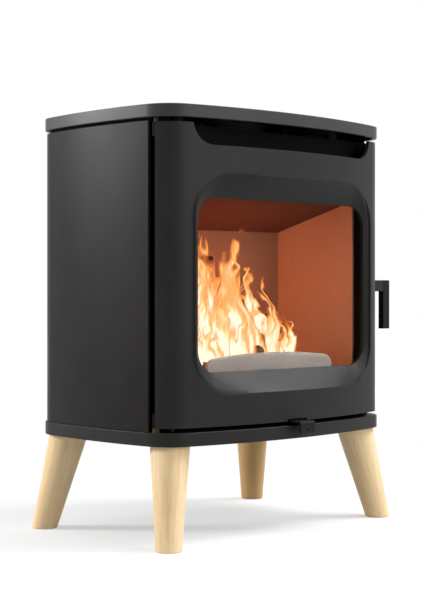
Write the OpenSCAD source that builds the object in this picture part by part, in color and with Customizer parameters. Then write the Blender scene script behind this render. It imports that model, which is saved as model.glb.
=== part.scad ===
/* [Plates] */
// Width of the top and base plates over the bowed sides
plate_w = 560; // [530:5:590]
// Depth of the plates, from the bowed front to the straight rear edge
plate_d = 384; // [378:1:396]
// Radius of the bowed front and sides, seen from above
bow_r = 950; // [900:10:1050]
// Radius of the plates' four corners, seen from above
corner_r = 60; // [56:1:64]
// Height of the top plate's edge
top_t = 21; // [18:0.5:26]
// Height of the base plate's edge
base_t = 22; // [18:0.5:26]
// Thickness of the rim cast round both plates
rim_t = 8; // [6:0.5:10]
// Thickness of the plates inside their rims
web_t = 7; // [5:0.5:9]

/* [Legs] */
// Height of the legs, floor to underside of the base plate
leg_h = 164; // [120:2:200]
// Radius of a leg where it meets the base plate
leg_top_r = 32.6; // [26:0.2:34]
// Radius of a leg at the floor
leg_foot_r = 21; // [15:0.5:24]
// Outward run of a leg from top to floor, in each direction
leg_splay = 30; // [10:1:40]
// Distance of the leg tops' middles inside the plates' sides
leg_side = 52.7; // [51:0.1:65]
// Distance of the front leg tops' middles behind the plates' front
leg_front = 72.2; // [71:0.1:84]
// Distance of the rear leg tops' middles before the plates' rear edge
leg_rear = 50.2; // [49:0.1:62]

/* [Casing] */
// Height between the two plates
body_h = 502; // [480:2:540]
// Distance of door and side panels inside the plates' edge
skin_inset = 3; // [2:0.5:6]
// Thickness of a cast side panel
panel_t = 6; // [4:0.5:7]
// Gap between a side panel and the top plate
panel_top_gap = 5; // [3:0.5:8]
// Distance of the side panels' front edge in front of the middle
panel_front = 115; // [112:0.5:118]
// Width of the dark gap between side panel and door
edge_gap = 12.4; // [12:0.1:14]
// Half the width of the rear panel
rear_hw = 194; // [180:1:200]
// Thickness of the sheet rear panel
rear_t = 3; // [2:0.5:4]

/* [Firebox] */
// Width of the convection duct between shell and side panel
side_duct = 30; // [28:0.5:32]
// Distance from the plates' front to the face of the shell's front frame
frame_set = 57; // [55:0.5:60]
// Depth of the duct behind the shell
rear_duct = 71; // [60:1:80]
// Thickness of the shell's steel plate
shell_t = 5; // [4:0.5:6]
// Thickness of the lining boards
lining_t = 25; // [20:1:28]
// Slack between lining and shell
lining_gap = 1; // [0.5:0.1:1.5]
// Depth of the air channel behind the back lining
air_channel = 28; // [20:1:36]
// Height of the hearth above the base plate
hearth_h = 76; // [72:1:84]
// Height of the shell's floor above the base plate
floor_h = 20; // [18:0.5:22]
// Distance from the top plate down to the baffle's lower rear edge
baffle_drop = 166; // [150:1:180]
// Rise of the baffle towards the front, in degrees
baffle_rise = 15.5; // [12:0.5:18]
// Thickness of the baffle board
baffle_t = 25; // [20:1:30]
// Width of the air slot in the back lining
air_slot_w = 82; // [40:1:90]
// Height of the air slot in the back lining
air_slot_h = 6.7; // [4:0.1:10]
// Distance of the air slot below the baffle's lower rear edge
air_slot_drop = 51; // [40:1:90]
// Height of the log guard above the hearth
guard_h = 44.5; // [36:0.5:50]
// Half the width of the log guard
guard_hw = 157; // [130:1:170]
// Width of the grate
grate_w = 190; // [160:2:200]
// Depth of the grate, front to rear
grate_d = 130; // [110:2:136]

/* [Door] */
// Thickness of the cast door's wall
door_t = 6; // [5:0.5:7]
// Gap between base plate and door
door_low_gap = 7; // [6:0.5:8]
// Gap between door and top plate
door_top_gap = 7.5; // [6:0.5:10]
// Distance from the plates' side to the window recess
window_side = 63; // [61:0.5:70]
// Distance from the door's lower edge to the window recess
window_low = 51.6; // [45:0.5:60]
// Distance from the door's upper edge to the window recess
window_top = 80; // [76:0.5:90]
// Corner radius of the window recess
window_r = 70; // [50:1:80]
// Run of the recess's slanted sides
bevel_side = 13.5; // [8:0.5:18]
// Run of the recess's slanted upper edge
bevel_top = 38.2; // [30:0.5:44]
// Run of the recess's slanted lower edge
bevel_low = 34.6; // [28:0.5:40]
// Corner radius of the glass opening
opening_r = 37; // [25:1:45]
// Half the width of the convection cut-out in the door's upper edge
cutout_hw = 216.5; // [180:1:218]
// Depth of the convection cut-out
cutout_h = 34.5; // [28:0.5:38]
// Corner radius of the convection cut-out
cutout_r = 38; // [20:1:44]
// Thickness of the glass
glass_t = 4; // [3:0.5:5]
// Radius of the door's rope seal
rope_r = 5; // [4:0.25:5.5]

/* [Hinge] */
// Radius of the hinge pins
pin_r = 3.5; // [3:0.1:3.8]
// Length of each hinge pin inside the door
pin_in = 20; // [14:1:24]

/* [Handle] */
// Height of the handle's axis above the base plate
handle_up = 234.7; // [200:1:300]
// Length of the grip
grip_l = 90; // [70:1:120]
// Width of the grip, seen from the front
grip_w = 18; // [14:0.5:22]
// Depth of arm and grip, front to rear
grip_d = 12; // [10:0.5:14]
// Height of the arm
arm_h = 20.5; // [16:0.5:24]
// Gap between door side and grip
finger_gap = 32; // [26:0.5:40]
// Radius of the handle's spindle
spindle_r = 5; // [4:0.25:5.5]

/* [Air control] */
// Width of the tab
tab_w = 34.5; // [26:0.5:40]
// Height of the bent-down tab
tab_h = 19; // [14:0.5:22]
// Distance of the tab in front of the base plate
tab_out = 20.5; // [18:0.5:26]
// Thickness of the slide's sheet
slide_t = 3; // [2:0.25:3.5]
// Radius of the hole in the tab
tab_hole_r = 2.2; // [1.5:0.1:3]

/* [Connections] */
// Inside radius of the flue collar, for a 150 mm flue pipe
flue_r = 75.5; // [65:0.5:78]
// Height of the flue collar above the top plate
flue_up = 8; // [4:0.5:12]
// Outside radius of the outside-air collar, for a 100 mm duct
inlet_r = 50; // [40:0.5:52]
// Length of the outside-air collar below the base plate's edge
inlet_drop = 22; // [10:1:30]

/* [Hidden] */
$fn = 64;
bow_fn = 360;

iron = "#4c4a48";
dark_iron = "#2f2d2c";
steel = "#5c5b5a";
zinc = "#b9bbbd";
beech = "#c9a777";
vermiculite = "#c79060";

fit = 0.05;          // radial clearance of a pin or shaft in its bore
seat = 0.3;          // gap between a moving face and its seat
far = 2000;          // longer than anything in the model

// Levels
base_z = leg_h;
floor_z = base_z + base_t;
top_z = floor_z + body_h;
door_lo = floor_z + door_low_gap;
door_hi = top_z - door_top_gap;
panel_hi = top_z - panel_top_gap;
hearth_z = floor_z + hearth_h;
shell_floor_z = floor_z + floor_h;
shell_hi = top_z - 7;
handle_z = floor_z + handle_up;

// Plan of the plates: bowed front and sides, straight rear, all worked out from four sizes
front_y = -plate_d / 2;
rear_y = plate_d / 2;
front_c = [0, bow_r + front_y];
function side_c(s) = [s * (plate_w / 2 - bow_r), 0];
function unit(v) = v / norm(v);
function front_corner(s) =
  let (a = front_c, b = side_c(s), half = norm(a - b) / 2, u = unit(a - b))
  (a + b) / 2 + s * sqrt(pow(bow_r - corner_r, 2) - half * half) * [u.y, -u.x];
function rear_corner(s) =
  let (y = rear_y - corner_r)
  [side_c(s).x + s * sqrt(pow(bow_r - corner_r, 2) - y * y), y];
corners = [
  for (s = [-1, 1]) [front_corner(s), unit(front_corner(s) - front_c), unit(front_corner(s) - side_c(s))],
  for (s = [-1, 1]) [rear_corner(s), [0, 1], unit(rear_corner(s) - side_c(s))]
];
function bow_y(x, inset) = front_c.y - sqrt(pow(bow_r - inset, 2) - x * x);
function side_x(y, inset) = plate_w / 2 - bow_r + sqrt(pow(bow_r - inset, 2) - y * y);

// Casing
panel_y = -panel_front;
door_y = panel_y - edge_gap;
door_inset = skin_inset + door_t;

// Firebox
shell_hw = plate_w / 2 - skin_inset - panel_t - side_duct;
frame_y = front_y + frame_set;
shell_y = rear_y - skin_inset - rear_t - rear_duct;
fire_hw = shell_hw - shell_t - lining_gap - lining_t;
lining_hw = fire_hw + lining_t;
fire_front = frame_y + shell_t + 1;
fire_back = shell_y - shell_t - air_channel - lining_t;
baffle_z = top_z - baffle_drop;
baffle_front = fire_front + 24;
flue_c = [0, 0];
collar_t = 5.5;
collar_in = 21;
top_screw_r = 3;
floor_t = 4;
frame_hw = fire_hw + 3;
frame_hi = top_z - 72;
rail_t = 4;
brick_t = 25;
rail_z = hearth_z - brick_t;
shelf_z = top_z - 76;
shelf_t = 4;
grate_t = 10;
grate_y = (fire_front + fire_back) / 2;

// Door: the glass opening, the flat back of the casting and the rope channel
recess_hw = plate_w / 2 - window_side;
recess_lo = door_lo + window_low;
recess_hi = door_hi - window_top;
open_hw = recess_hw - bevel_side;
open_lo = recess_lo + bevel_low;
open_hi = recess_hi - bevel_top;
flange_t = 6;
gasket_t = 2.5;
rope_y = frame_y - seat - rope_r;
channel_y = rope_y - rope_r - 0.2;
flange_y = frame_y - 19;
open_y = flange_y - flange_t;
rope_hw = frame_hw + 13;
rope_lo = shell_floor_z - 3;
rope_hi = frame_hi + 12;
rope_corner = 30;
channel_w = rope_r + 0.5;
channel_t = 3;
glass_lap = 12.5;
glass_y = flange_y + gasket_t;
glass_hw = open_hw + glass_lap;
notch_w = tab_w + 13.5;
notch_h = 3.7;

// Hinge: the axis stands in the gap beside the door's left edge
hinge_c = [-(side_x(panel_y, skin_inset) - 9.3), panel_y - 9];
hinge_boss_r = 6.5;
hinge_foot_r = 10;
boss_h = pin_in + 3;

// Latch
axis_y = (panel_y + door_y) / 2;
hook_x = shell_hw + 4;
hook_t = 4.5;
lug_x = hook_x + hook_t + 0.5;
lug_end = side_x(axis_y, skin_inset + panel_t) - 3;
lug_r = spindle_r + 6;
keeper_r = 4;
keeper_at = [20.5, 15.4];
nose_from = 31;
nose_to = 39;
nose_h = 10.6;
hook_w = 7;
arm_x = side_x(axis_y, skin_inset) + 3.5;
spindle_in = 12;
grip_screw_r = 2.5;
grip_head_r = 4.5;
grip_x = side_x(axis_y, skin_inset) + finger_gap;

// Air control
slide_z = door_lo - 2.3;
valve_w = 140;
valve_y = 52;
valve_d = 100;
port_w = 100;
port_h = 9;
port_pitch = 22;
port_n = 4;
seat_t = slide_z - seat - floor_z;
inlet_t = 2;
inlet_step = 0.8;

// Tools for flat shapes drawn in the front view: x across, y up
module standing(y0, y1) translate([0, y1, 0]) rotate([90, 0, 0]) linear_extrude(y1 - y0) children();
module rounded(hw, lo, hi, r) {
  translate([-hw, lo + r]) square([2 * hw, hi - lo - 2 * r]);
  translate([-hw + r, lo]) square([2 * (hw - r), hi - lo]);
  for (x = [-1, 1], z = [lo + r, hi - r]) translate([x * (hw - r), z]) circle(r);
}
module slot(w, h) {
  translate([-w / 2 + h / 2, -h / 2]) square([w - h, h]);
  for (s = [-1, 1]) translate([s * (w - h) / 2, 0]) circle(h / 2);
}
module block(x, y, z) translate([x[0], y[0], z[0]]) cube([x[1] - x[0], y[1] - y[0], z[1] - z[0]]);

// Plan outline, a set distance inside the plates' edge, with exact arcs
module wedge(c, u, v) polygon([c, c + u * 3 * corner_r, c + (u + v) * 3 * corner_r, c + v * 3 * corner_r]);
module plan(inset) {
  difference() {
    intersection() {
      translate(front_c) circle(bow_r - inset, $fn = bow_fn);
      translate(side_c(1)) circle(bow_r - inset, $fn = bow_fn);
      translate(side_c(-1)) circle(bow_r - inset, $fn = bow_fn);
      translate([-far, -far]) square([2 * far, far + rear_y - inset]);
    }
    for (c = corners) wedge(c[0], c[1], c[2]);
  }
  for (c = corners) intersection() {
    translate(c[0]) circle(corner_r - inset);
    wedge(c[0], c[1], c[2]);
  }
}
module plan_slab(inset, z0, z1) translate([0, 0, z0]) linear_extrude(z1 - z0) plan(inset);
function leg_at(sx, sy) =
  [sx * (plate_w / 2 - leg_side), sy < 0 ? front_y + leg_front : rear_y - leg_rear, 0];
module at_legs() for (sx = [-1, 1], sy = [-1, 1]) translate(leg_at(sx, sy)) children();

// Base: a ribbed casting with a pad for each leg and the seat of the lower hinge pin
stud_r = 4;
stud_in = 50;
nut_h = 6.5;
nut_r = 7.5;
pad_r = leg_top_r + 3;
module hinge_foot(z0, z1) intersection() {
  translate([hinge_c.x, hinge_c.y, z0]) cylinder(h = z1 - z0, r = hinge_foot_r);
  plan_slab(1, z0, z1);
}
rib_t = 6;
rib_x = plate_w * 0.232;
rib_y = front_y * 0.3125;
module cross_ribs(z0, z1) intersection() {
  plan_slab(rim_t - 1, z0, z1);
  union() {
    for (x = [-rib_x, rib_x]) block([x - rib_t / 2, x + rib_t / 2], [-far, far], [z0, z1]);
    block([-far, far], [rib_y - rib_t / 2, rib_y + rib_t / 2], [z0, z1]);
  }
}
module base_plate() color(iron) difference() {
  union() {
    difference() {
      plan_slab(0, base_z, floor_z);
      plan_slab(rim_t, base_z - 1, floor_z - web_t);
    }
    cross_ribs(base_z + 6, floor_z);
    intersection() {
      at_legs() translate([0, 0, base_z]) cylinder(h = base_t, r = pad_r);
      plan_slab(1, base_z, floor_z);
    }
    hinge_foot(base_z, floor_z);
  }
  at_legs() translate([0, 0, base_z - 1]) cylinder(h = base_t + 2, r = stud_r + fit);
  translate([hinge_c.x, hinge_c.y, base_z + 5]) cylinder(h = base_t, r = pin_r + fit);
  translate([0, valve_y, base_z - 1]) cylinder(h = base_t + 2, r = inlet_r - inlet_step + fit);
}

// Legs: tapered round beech, splayed outwards and cut level at both ends
module leg(sx, sy) color(beech) {
  lean = atan2(leg_splay * sqrt(2), leg_h);
  run = leg_h / cos(lean);
  over = leg_top_r;
  taper = (leg_top_r - leg_foot_r) / run;
  translate(leg_at(sx, sy)) difference() {
    intersection() {
      translate([0, 0, leg_h]) rotate([0, 180 - lean, atan2(sy, sx)]) translate([0, 0, -over])
        cylinder(h = run + 2 * over, r1 = leg_top_r + taper * over, r2 = leg_foot_r - taper * over);
      block([-far, far], [-far, far], [0, leg_h]);
    }
    translate([0, 0, leg_h - stud_in]) cylinder(h = far, r = stud_r + fit);
  }
}
module front_left_leg() leg(-1, -1);
module front_right_leg() leg(1, -1);
module rear_left_leg() leg(-1, 1);
module rear_right_leg() leg(1, 1);
module leg_studs() color(zinc) at_legs()
  translate([0, 0, leg_h - stud_in]) cylinder(h = stud_in + base_t + nut_h + 2, r = stud_r);
module leg_nuts() color(zinc) at_legs() translate([0, 0, floor_z]) difference() {
  cylinder(h = nut_h, r = nut_r, $fn = 6);
  translate([0, 0, -1]) cylinder(h = far, r = stud_r + fit);
}

// Air supply: outside-air collar, ported valve seat, guides and the walls of the air box
module air_inlet_collar() color(steel) translate([0, valve_y, base_z - inlet_drop]) difference() {
  union() {
    cylinder(h = inlet_drop + base_t - web_t - 3, r = inlet_r);
    cylinder(h = inlet_drop + base_t, r = inlet_r - inlet_step);
  }
  translate([0, 0, -1]) cylinder(h = far, r = inlet_r - inlet_t);
}
module ports(z0, z1) for (i = [0 : port_n - 1])
  translate([0, valve_y + (i - (port_n - 1) / 2) * port_pitch, z0]) linear_extrude(z1 - z0)
    slot(port_w, port_h);
guide_w = 9;
guide_hw = valve_w / 2 + seat;
module air_valve_seat() color(steel) difference() {
  block([-guide_hw - guide_w, guide_hw + guide_w], [valve_y - valve_d / 2 - 10, valve_y + valve_d / 2 + 4],
        [floor_z, floor_z + seat_t]);
  ports(floor_z - 1, floor_z + seat_t + 1);
}
module air_slide_guides() color(steel) for (s = [-1, 1]) scale([s, 1, 1]) {
  y = [valve_y - valve_d / 2 - 10, valve_y + valve_d / 2 + 4];
  block([guide_hw, guide_hw + guide_w], y, [floor_z + seat_t, slide_z + slide_t + seat + 2]);
  block([guide_hw - 6, guide_hw + 1], y, [slide_z + slide_t + seat, slide_z + slide_t + seat + 2]);
}
module air_box_walls() color(steel) difference() {
  o = [guide_hw + guide_w + 3, valve_y - valve_d / 2 - 46, valve_y + valve_d / 2 + 10];
  block([-o[0], o[0]], [o[1], o[2]], [floor_z, shell_floor_z]);
  block([-o[0] + 2, o[0] - 2], [o[1] + 2, o[2] - 2], [floor_z - 1, shell_floor_z + 1]);
  block([-tab_w / 2 - 2, tab_w / 2 + 2], [o[1] - 1, o[1] + 3], [floor_z - 1, slide_z + slide_t + 1.5]);
}

// Firebox shell: six steel plates welded edge to edge, with rails for hearth and shelf inside
shell_back_y = shell_y - shell_t;
shell_front_y = frame_y + shell_t;
shell_in = shell_hw - shell_t;
rail_w = 10;
lip_t = 3;
bar_x = lining_hw * 0.477;
bar_t = 4;
hole_r = 9;
hole_pitch = 40;
module shell_side() color(dark_iron) {
  block([shell_in, shell_hw], [shell_front_y, shell_y], [floor_z, shell_hi - shell_t]);
  block([shell_in - 2 * rail_w, shell_in + 1], [fire_front, shell_back_y - 1], [rail_z - rail_t, rail_z]);
  block([shell_in - rail_w, shell_in + 1], [fire_front + rail_w, fire_back - rail_w],
        [shelf_z - rail_t, shelf_z]);
}
module shell_left_side() mirror([1, 0, 0]) shell_side();
module shell_right_side() shell_side();
module shell_back() color(dark_iron) {
  block([-shell_in, shell_in], [shell_back_y, shell_y], [shell_floor_z, shell_hi - shell_t]);
  for (x = [-bar_x, bar_x]) block([x - bar_t / 2, x + bar_t / 2], [fire_back + lining_t, shell_back_y + 1],
                                  [hearth_z, baffle_z - hole_pitch]);
}
module shell_floor() color(dark_iron) difference() {
  block([-shell_in, shell_in], [shell_front_y, shell_back_y], [shell_floor_z, shell_floor_z + floor_t]);
  for (x = [-1.5 : 1.5]) translate([x * hole_pitch, grate_y, shell_floor_z - 1])
    cylinder(h = floor_t + 2, r = hole_r);
}
module shell_top() color(dark_iron) difference() {
  block([-shell_hw, shell_hw], [shell_front_y, shell_y], [shell_hi - shell_t, shell_hi]);
  translate([flue_c.x, flue_c.y, shell_hi - shell_t - 1])
    cylinder(h = shell_t + 2, r = flue_r + collar_t + seat);
  at_top_screws() translate([0, 0, shell_hi - shell_t - 1]) cylinder(h = far, r = top_screw_r + fit);
}
module shell_front() color(dark_iron) {
  difference() {
    block([-shell_hw, shell_hw], [frame_y, shell_front_y], [floor_z + floor_h / 2, shell_hi]);
    block([-frame_hw, frame_hw], [frame_y - 1, shell_front_y + 1], [shell_floor_z + floor_t, frame_hi]);
  }
  for (s = [-1, 1]) scale([s, 1, 1])
    block([frame_hw, frame_hw + lip_t], [frame_y - 11, frame_y + 1], [hearth_z, frame_hi - 20]);
}
module at_top_screws() for (x = [-1, 1], y = [frame_y + 40, shell_y - 30])
  translate([x * (shell_hw - 51), y, 0]) children();

// Fire side: ash pan, hearth board, grate, lining boards and baffle
pan_hw = grate_w / 2 + 13;
pan_y = [fire_front + 4, fire_back - 24];
pan_h = 23;
module ash_pan() color(steel) {
  z = shell_floor_z + floor_t;
  difference() {
    block([-pan_hw, pan_hw], pan_y, [z, z + pan_h]);
    block([-pan_hw + 2, pan_hw - 2], [pan_y[0] + 2, pan_y[1] - 2], [z + 2, z + pan_h + 1]);
  }
  block([-40, 40], [pan_y[0] - 5, pan_y[0] + 1], [z + pan_h - 3, z + pan_h]);
}
module hearth_brick() color(vermiculite) difference() {
  block([-lining_hw, lining_hw], [fire_front, fire_back + lining_t], [rail_z, hearth_z]);
  translate([0, grate_y, 0]) {
    block([-grate_w / 2, grate_w / 2], [-grate_d / 2, grate_d / 2], [hearth_z - grate_t, hearth_z + 1]);
    block([-grate_w / 2 + grate_t, grate_w / 2 - grate_t], [-grate_d / 2 + grate_t, grate_d / 2 - grate_t],
          [rail_z - 1, hearth_z]);
  }
}
grate_slots = 9;
module grate() color(dark_iron) translate([0, grate_y, hearth_z - grate_t]) difference() {
  block([-grate_w / 2 + 0.5, grate_w / 2 - 0.5], [-grate_d / 2 + 0.5, grate_d / 2 - 0.5], [0, grate_t]);
  for (i = [0 : grate_slots - 1])
    translate([(i - (grate_slots - 1) / 2) * (grate_w - 30) / (grate_slots - 1), 0, -1]) rotate(90)
      linear_extrude(grate_t + 2) slot(grate_d - 30, 8);
}
// Everything above the baffle's sloping underside
module above_baffle() rotate([90, 0, 90]) translate([0, 0, -far / 2]) linear_extrude(far)
  polygon([[fire_back + 100, baffle_z - 100 * tan(baffle_rise)], [fire_front - 100, baffle_z +
    (fire_back - fire_front + 100) * tan(baffle_rise)], [fire_front - 100, far], [fire_back + 100, far]]);
module side_lining() color(vermiculite) difference() {
  block([fire_hw, lining_hw], [fire_front, fire_back], [hearth_z, top_z]);
  above_baffle();
}
module left_lining() mirror([1, 0, 0]) side_lining();
module right_lining() side_lining();
module back_lining() color(vermiculite) difference() {
  block([-lining_hw, lining_hw], [fire_back, fire_back + lining_t], [hearth_z, top_z]);
  above_baffle();
  translate([0, 0, baffle_z - air_slot_drop]) standing(fire_back - 1, fire_back + lining_t + 1)
    slot(air_slot_w, air_slot_h);
}
module baffle_board() color(vermiculite) intersection() {
  block([-lining_hw, lining_hw], [baffle_front, fire_back + lining_t], [hearth_z, top_z]);
  above_baffle();
  translate([0, 0, baffle_t / cos(baffle_rise)]) difference() {
    block([-far / 2, far / 2], [-far, far], [-far, far]);
    above_baffle();
  }
}
module smoke_shelf() color(steel)
  block([2 - shell_in, shell_in - 2], [fire_front + 4, fire_back - 7], [shelf_z, shelf_z + shelf_t]);
module air_wash_angle() color(steel) {
  x = [-frame_hw + 8, frame_hw - 8];
  block(x, [frame_y + shell_t, frame_y + shell_t + 3], [frame_hi - 26, frame_hi + 20]);
  block(x, [frame_y - 7, frame_y + shell_t + 1], [frame_hi - 26, frame_hi - 23]);
}
crown_r = 1350;
module log_guard() color("#8f8d8a") standing(fire_front + 1, fire_front + 7) intersection() {
  translate([0, hearth_z + guard_h - crown_r]) circle(crown_r, $fn = 360);
  rounded(guard_hw, hearth_z - 40, hearth_z + guard_h, 16);
  translate([-far, hearth_z]) square([2 * far, far]);
}
// Split logs: each a lopsided wedge of a round log, lying flat on the hearth
module log(l, r, turn) rotate([0, 0, turn]) translate([-l / 2, 0, 0]) rotate([90, 0, 90]) linear_extrude(l)
  polygon([[-r, 0], [r * 0.9, 0], [r, r * 0.35], [r * 0.55, r * 1.05], [-r * 0.1, r * 1.3],
           [-r * 0.8, r * 0.9], [-r * 1.05, r * 0.4]]);
module firewood() color("#5b3a22") {
  translate([-8, grate_y - 38, hearth_z]) log(250, 30, 2);
  translate([14, grate_y + 38, hearth_z]) log(262, 33, -2);
}

// Top: flue collar, top casting and its screws
module flue_collar() color(dark_iron) translate([flue_c.x, flue_c.y, 0]) difference() {
  union() {
    translate([0, 0, shell_hi - collar_in])
      cylinder(h = top_z + top_t + flue_up - shell_hi + collar_in, r = flue_r + collar_t);
    translate([0, 0, shell_hi]) cylinder(h = 5, r = flue_r + 20);
  }
  translate([0, 0, shell_hi - collar_in + 5]) cylinder(h = far, r = flue_r);
  translate([0, 0, shell_hi - collar_in - 1]) cylinder(h = 10, r = flue_r - 5);
}
// Downstanding rib under the top plate, which the casing's panels close round
locator_t = 4;
locator_h = 10;
locator_in = skin_inset + panel_t + 0.5;
module panel_locator() intersection() {
  difference() {
    union() {
      plan_slab(locator_in, panel_hi - locator_h, top_z + 2);
      plan_slab(rim_t - 1, top_z + 1, top_z + top_t - 1);
    }
    plan_slab(locator_in + locator_t, panel_hi - locator_h - 1, top_z + top_t);
  }
  block([-far, far], [panel_y + 2, far], [0, far]);
}
module top_plate() color(iron) difference() {
  union() {
    panel_locator();
    difference() {
      plan_slab(0, top_z, top_z + top_t);
      plan_slab(rim_t, top_z - 1, top_z + top_t - web_t);
    }
    cross_ribs(top_z + 2, top_z + top_t - 1);
    at_top_screws() translate([0, 0, shell_hi]) cylinder(h = top_z + top_t - shell_hi - 1, r = 11);
    hinge_foot(top_z, top_z + top_t - 1);
  }
  translate([flue_c.x, flue_c.y, top_z - 5]) cylinder(h = far, r = flue_r + collar_t + 1.5);
  translate([flue_c.x, flue_c.y, top_z - 5]) cylinder(h = 11, r = flue_r + 22);
  translate([hinge_c.x, hinge_c.y, top_z - 1]) cylinder(h = top_t - 4, r = pin_r + fit);
  at_top_screws() translate([0, 0, shell_hi - 1]) cylinder(h = 20, r = top_screw_r + fit);
}
module top_screws() color(zinc) at_top_screws() translate([0, 0, shell_hi - shell_t]) {
  cylinder(h = 22, r = top_screw_r);
  translate([0, 0, -4]) cylinder(h = 4, r = top_screw_r + 2.5);
}

// Casing: two cast side panels that wrap the rear corners, and the sheet rear panel
lug_z = [44, body_h - 62];
module panel_shape() {
  difference() {
    plan_slab(skin_inset, floor_z, panel_hi);
    plan_slab(skin_inset + panel_t, floor_z - 1, top_z);
    block([-far, far], [-far, panel_y], [0, far]);
    block([-far, rear_hw + 1], [-far, far], [0, far]);
  }
  block([rear_hw - 14, rear_hw + 10], [rear_y - skin_inset - panel_t, rear_y - skin_inset - rear_t],
        [floor_z, panel_hi]);
  for (z = lug_z, y = [-70, 60])
    block([shell_hw, side_x(y, skin_inset + 1)], [y, y + 8], [floor_z + z, floor_z + z + 18]);
}
module side_panel() color(iron) difference() {
  panel_shape();
  for (p = at_rear_screws) translate([p.x, 0, p.y]) standing(0, far) circle(2 + fit);
}
module left_side_panel() mirror([1, 0, 0]) side_panel();
module right_side_panel() side_panel();
outlet_z = top_z - 96;
at_rear_screws = [for (x = [-1, 1], z = [20, body_h / 2, body_h - 25]) [x * (rear_hw - 7), floor_z + z]];
module rear_panel() color(iron) difference() {
  block([-rear_hw, rear_hw], [rear_y - skin_inset - rear_t, rear_y - skin_inset], [floor_z, panel_hi]);
  for (row = [0 : 2], col = [-2 : 2]) {
    translate([col * 66, 0, floor_z + 30 + row * 18]) standing(0, far) slot(50, 8);
    translate([col * 66, 0, outlet_z - 150 + row * 18]) standing(0, far) slot(50, 8);
  }
  translate([0, 0, outlet_z]) standing(0, far) circle(flue_r + 8);
  for (p = at_rear_screws) translate([p.x, 0, p.y]) standing(0, far) circle(2 + fit);
}
module rear_outlet_cover() color(iron) translate([0, 0, outlet_z]) {
  standing(rear_y - skin_inset, rear_y - 1) circle(flue_r + 14);
  standing(rear_y - skin_inset - rear_t, rear_y - skin_inset + 0.5) circle(flue_r + 7.5);
}
module rear_screws() color(zinc) for (p = at_rear_screws) translate([p.x, 0, p.y]) {
  standing(rear_y - skin_inset - panel_t, rear_y - skin_inset + 0.5) circle(2);
  standing(rear_y - skin_inset, rear_y - skin_inset + 2) circle(4.5);
}

// Hinge: two upright pins, the lower one with a thrust washer that carries the door
module lower_hinge_pin() color(zinc) translate([hinge_c.x, hinge_c.y, base_z + 6])
  cylinder(h = door_lo + pin_in - base_z - 6, r = pin_r);
module upper_hinge_pin() color(zinc) translate([hinge_c.x, hinge_c.y, door_hi - pin_in])
  cylinder(h = top_z + top_t - 6 - door_hi + pin_in, r = pin_r);
module hinge_washer() color("#b08d57") translate([hinge_c.x, hinge_c.y, floor_z]) difference() {
  cylinder(h = door_low_gap - 0.1, r = hinge_boss_r);
  translate([0, 0, -1]) cylinder(h = far, r = pin_r + fit);
}
module latch_keeper() color(zinc) translate([shell_hw, axis_y, handle_z]) {
  block([0, 3], [keeper_at[0] - 9, keeper_at[0] + 12], [keeper_at[1] - 7, keeper_at[1] + 22]);
  translate([0, keeper_at[0], keeper_at[1]]) rotate([0, 90, 0]) cylinder(h = 4 + hook_t + 3, r = keeper_r);
}

// Door: one casting, bowed like the plates and wrapped round both front corners, with a slanted
// recess round the glass, a convection cut-out in its upper edge and a rope channel on its back
corner_n = 10;
edge_n = 8;
function arc(c, r, a) =
  [for (i = [0 : corner_n]) let (t = a + i * 90 / corner_n) c + r * [cos(t), sin(t)]];
function along(p, q) = [for (i = [1 : edge_n - 1]) p + (q - p) * i / edge_n];
function outline(hw, lo, hi, r) = concat(
  arc([hw - r, lo + r], r, -90), arc([hw - r, hi - r], r, 0), along([hw - r, hi], [r - hw, hi]),
  arc([r - hw, hi - r], r, 90), arc([r - hw, lo + r], r, 180), along([r - hw, lo], [hw - r, lo]));
// A skin of quads through the rings, closed by the first and last ring
module lofted(rings) {
  n = len(rings[0]);
  last = (len(rings) - 1) * n;
  middles = [for (ring = [rings[0], rings[len(rings) - 1]]) (ring[0] + ring[n / 2]) / 2];
  polyhedron(
    points = concat([for (ring = rings, p = ring) p], middles),
    faces = concat(
      [for (i = [0 : n - 1]) [last + n, (i + 1) % n, i]],
      [for (i = [0 : n - 1]) [last + n + 1, last + i, last + (i + 1) % n]],
      [for (j = [0 : len(rings) - 2], i = [0 : n - 1], h = [0, 1])
        let (a = j * n + i, b = j * n + (i + 1) % n) h == 0 ? [a, b, a + n] : [b, b + n, a + n]]));
}
// The window's funnel, from past the bowed face to the flat glass opening, grown by a wall's thickness
module funnel(grow, mid_y, back_y) {
  past = 0.3;
  outer = outline(recess_hw + grow, recess_lo - grow, recess_hi + grow, window_r + grow);
  inner = outline(open_hw + grow, open_lo - grow, open_hi + grow, opening_r + grow);
  face = [for (i = [0 : len(outer) - 1]) let (p = outer[i], q = inner[i], y = bow_y(p.x, skin_inset))
    [p.x, y, p.y] + past * [p.x - q.x, y - mid_y, p.y - q.y]];
  lofted([
    [for (p = face) [p.x, front_y - 20, p.z]],
    face,
    [for (p = inner) [p.x, mid_y, p.y]],
    [for (p = inner) [p.x, back_y, p.y]]
  ]);
}
module channel_ring(out, in) difference() {
  rounded(rope_hw + out, rope_lo - out, rope_hi + out, rope_corner + out);
  rounded(rope_hw - in, rope_lo + in, rope_hi - in, rope_corner - in);
}
module door_ribs() intersection() {
  plan_slab(skin_inset + 2, door_lo, door_hi);
  for (s = [-1, 1], z = [50, 130, 330, 415])
    scale([s, 1, 1]) block([rope_hw, plate_w], [open_y, flange_y + 4], [door_lo + z, door_lo + z + 5]);
}
module hinge_boss(z0) {
  translate([hinge_c.x, hinge_c.y, z0]) cylinder(h = boss_h, r = hinge_boss_r);
  intersection() {
    plan_slab(skin_inset + 2, z0, z0 + boss_h);
    block([hinge_c.x - 3, hinge_c.x + hinge_boss_r], [hinge_c.y - 26, hinge_c.y], [z0, z0 + boss_h]);
  }
}
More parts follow.
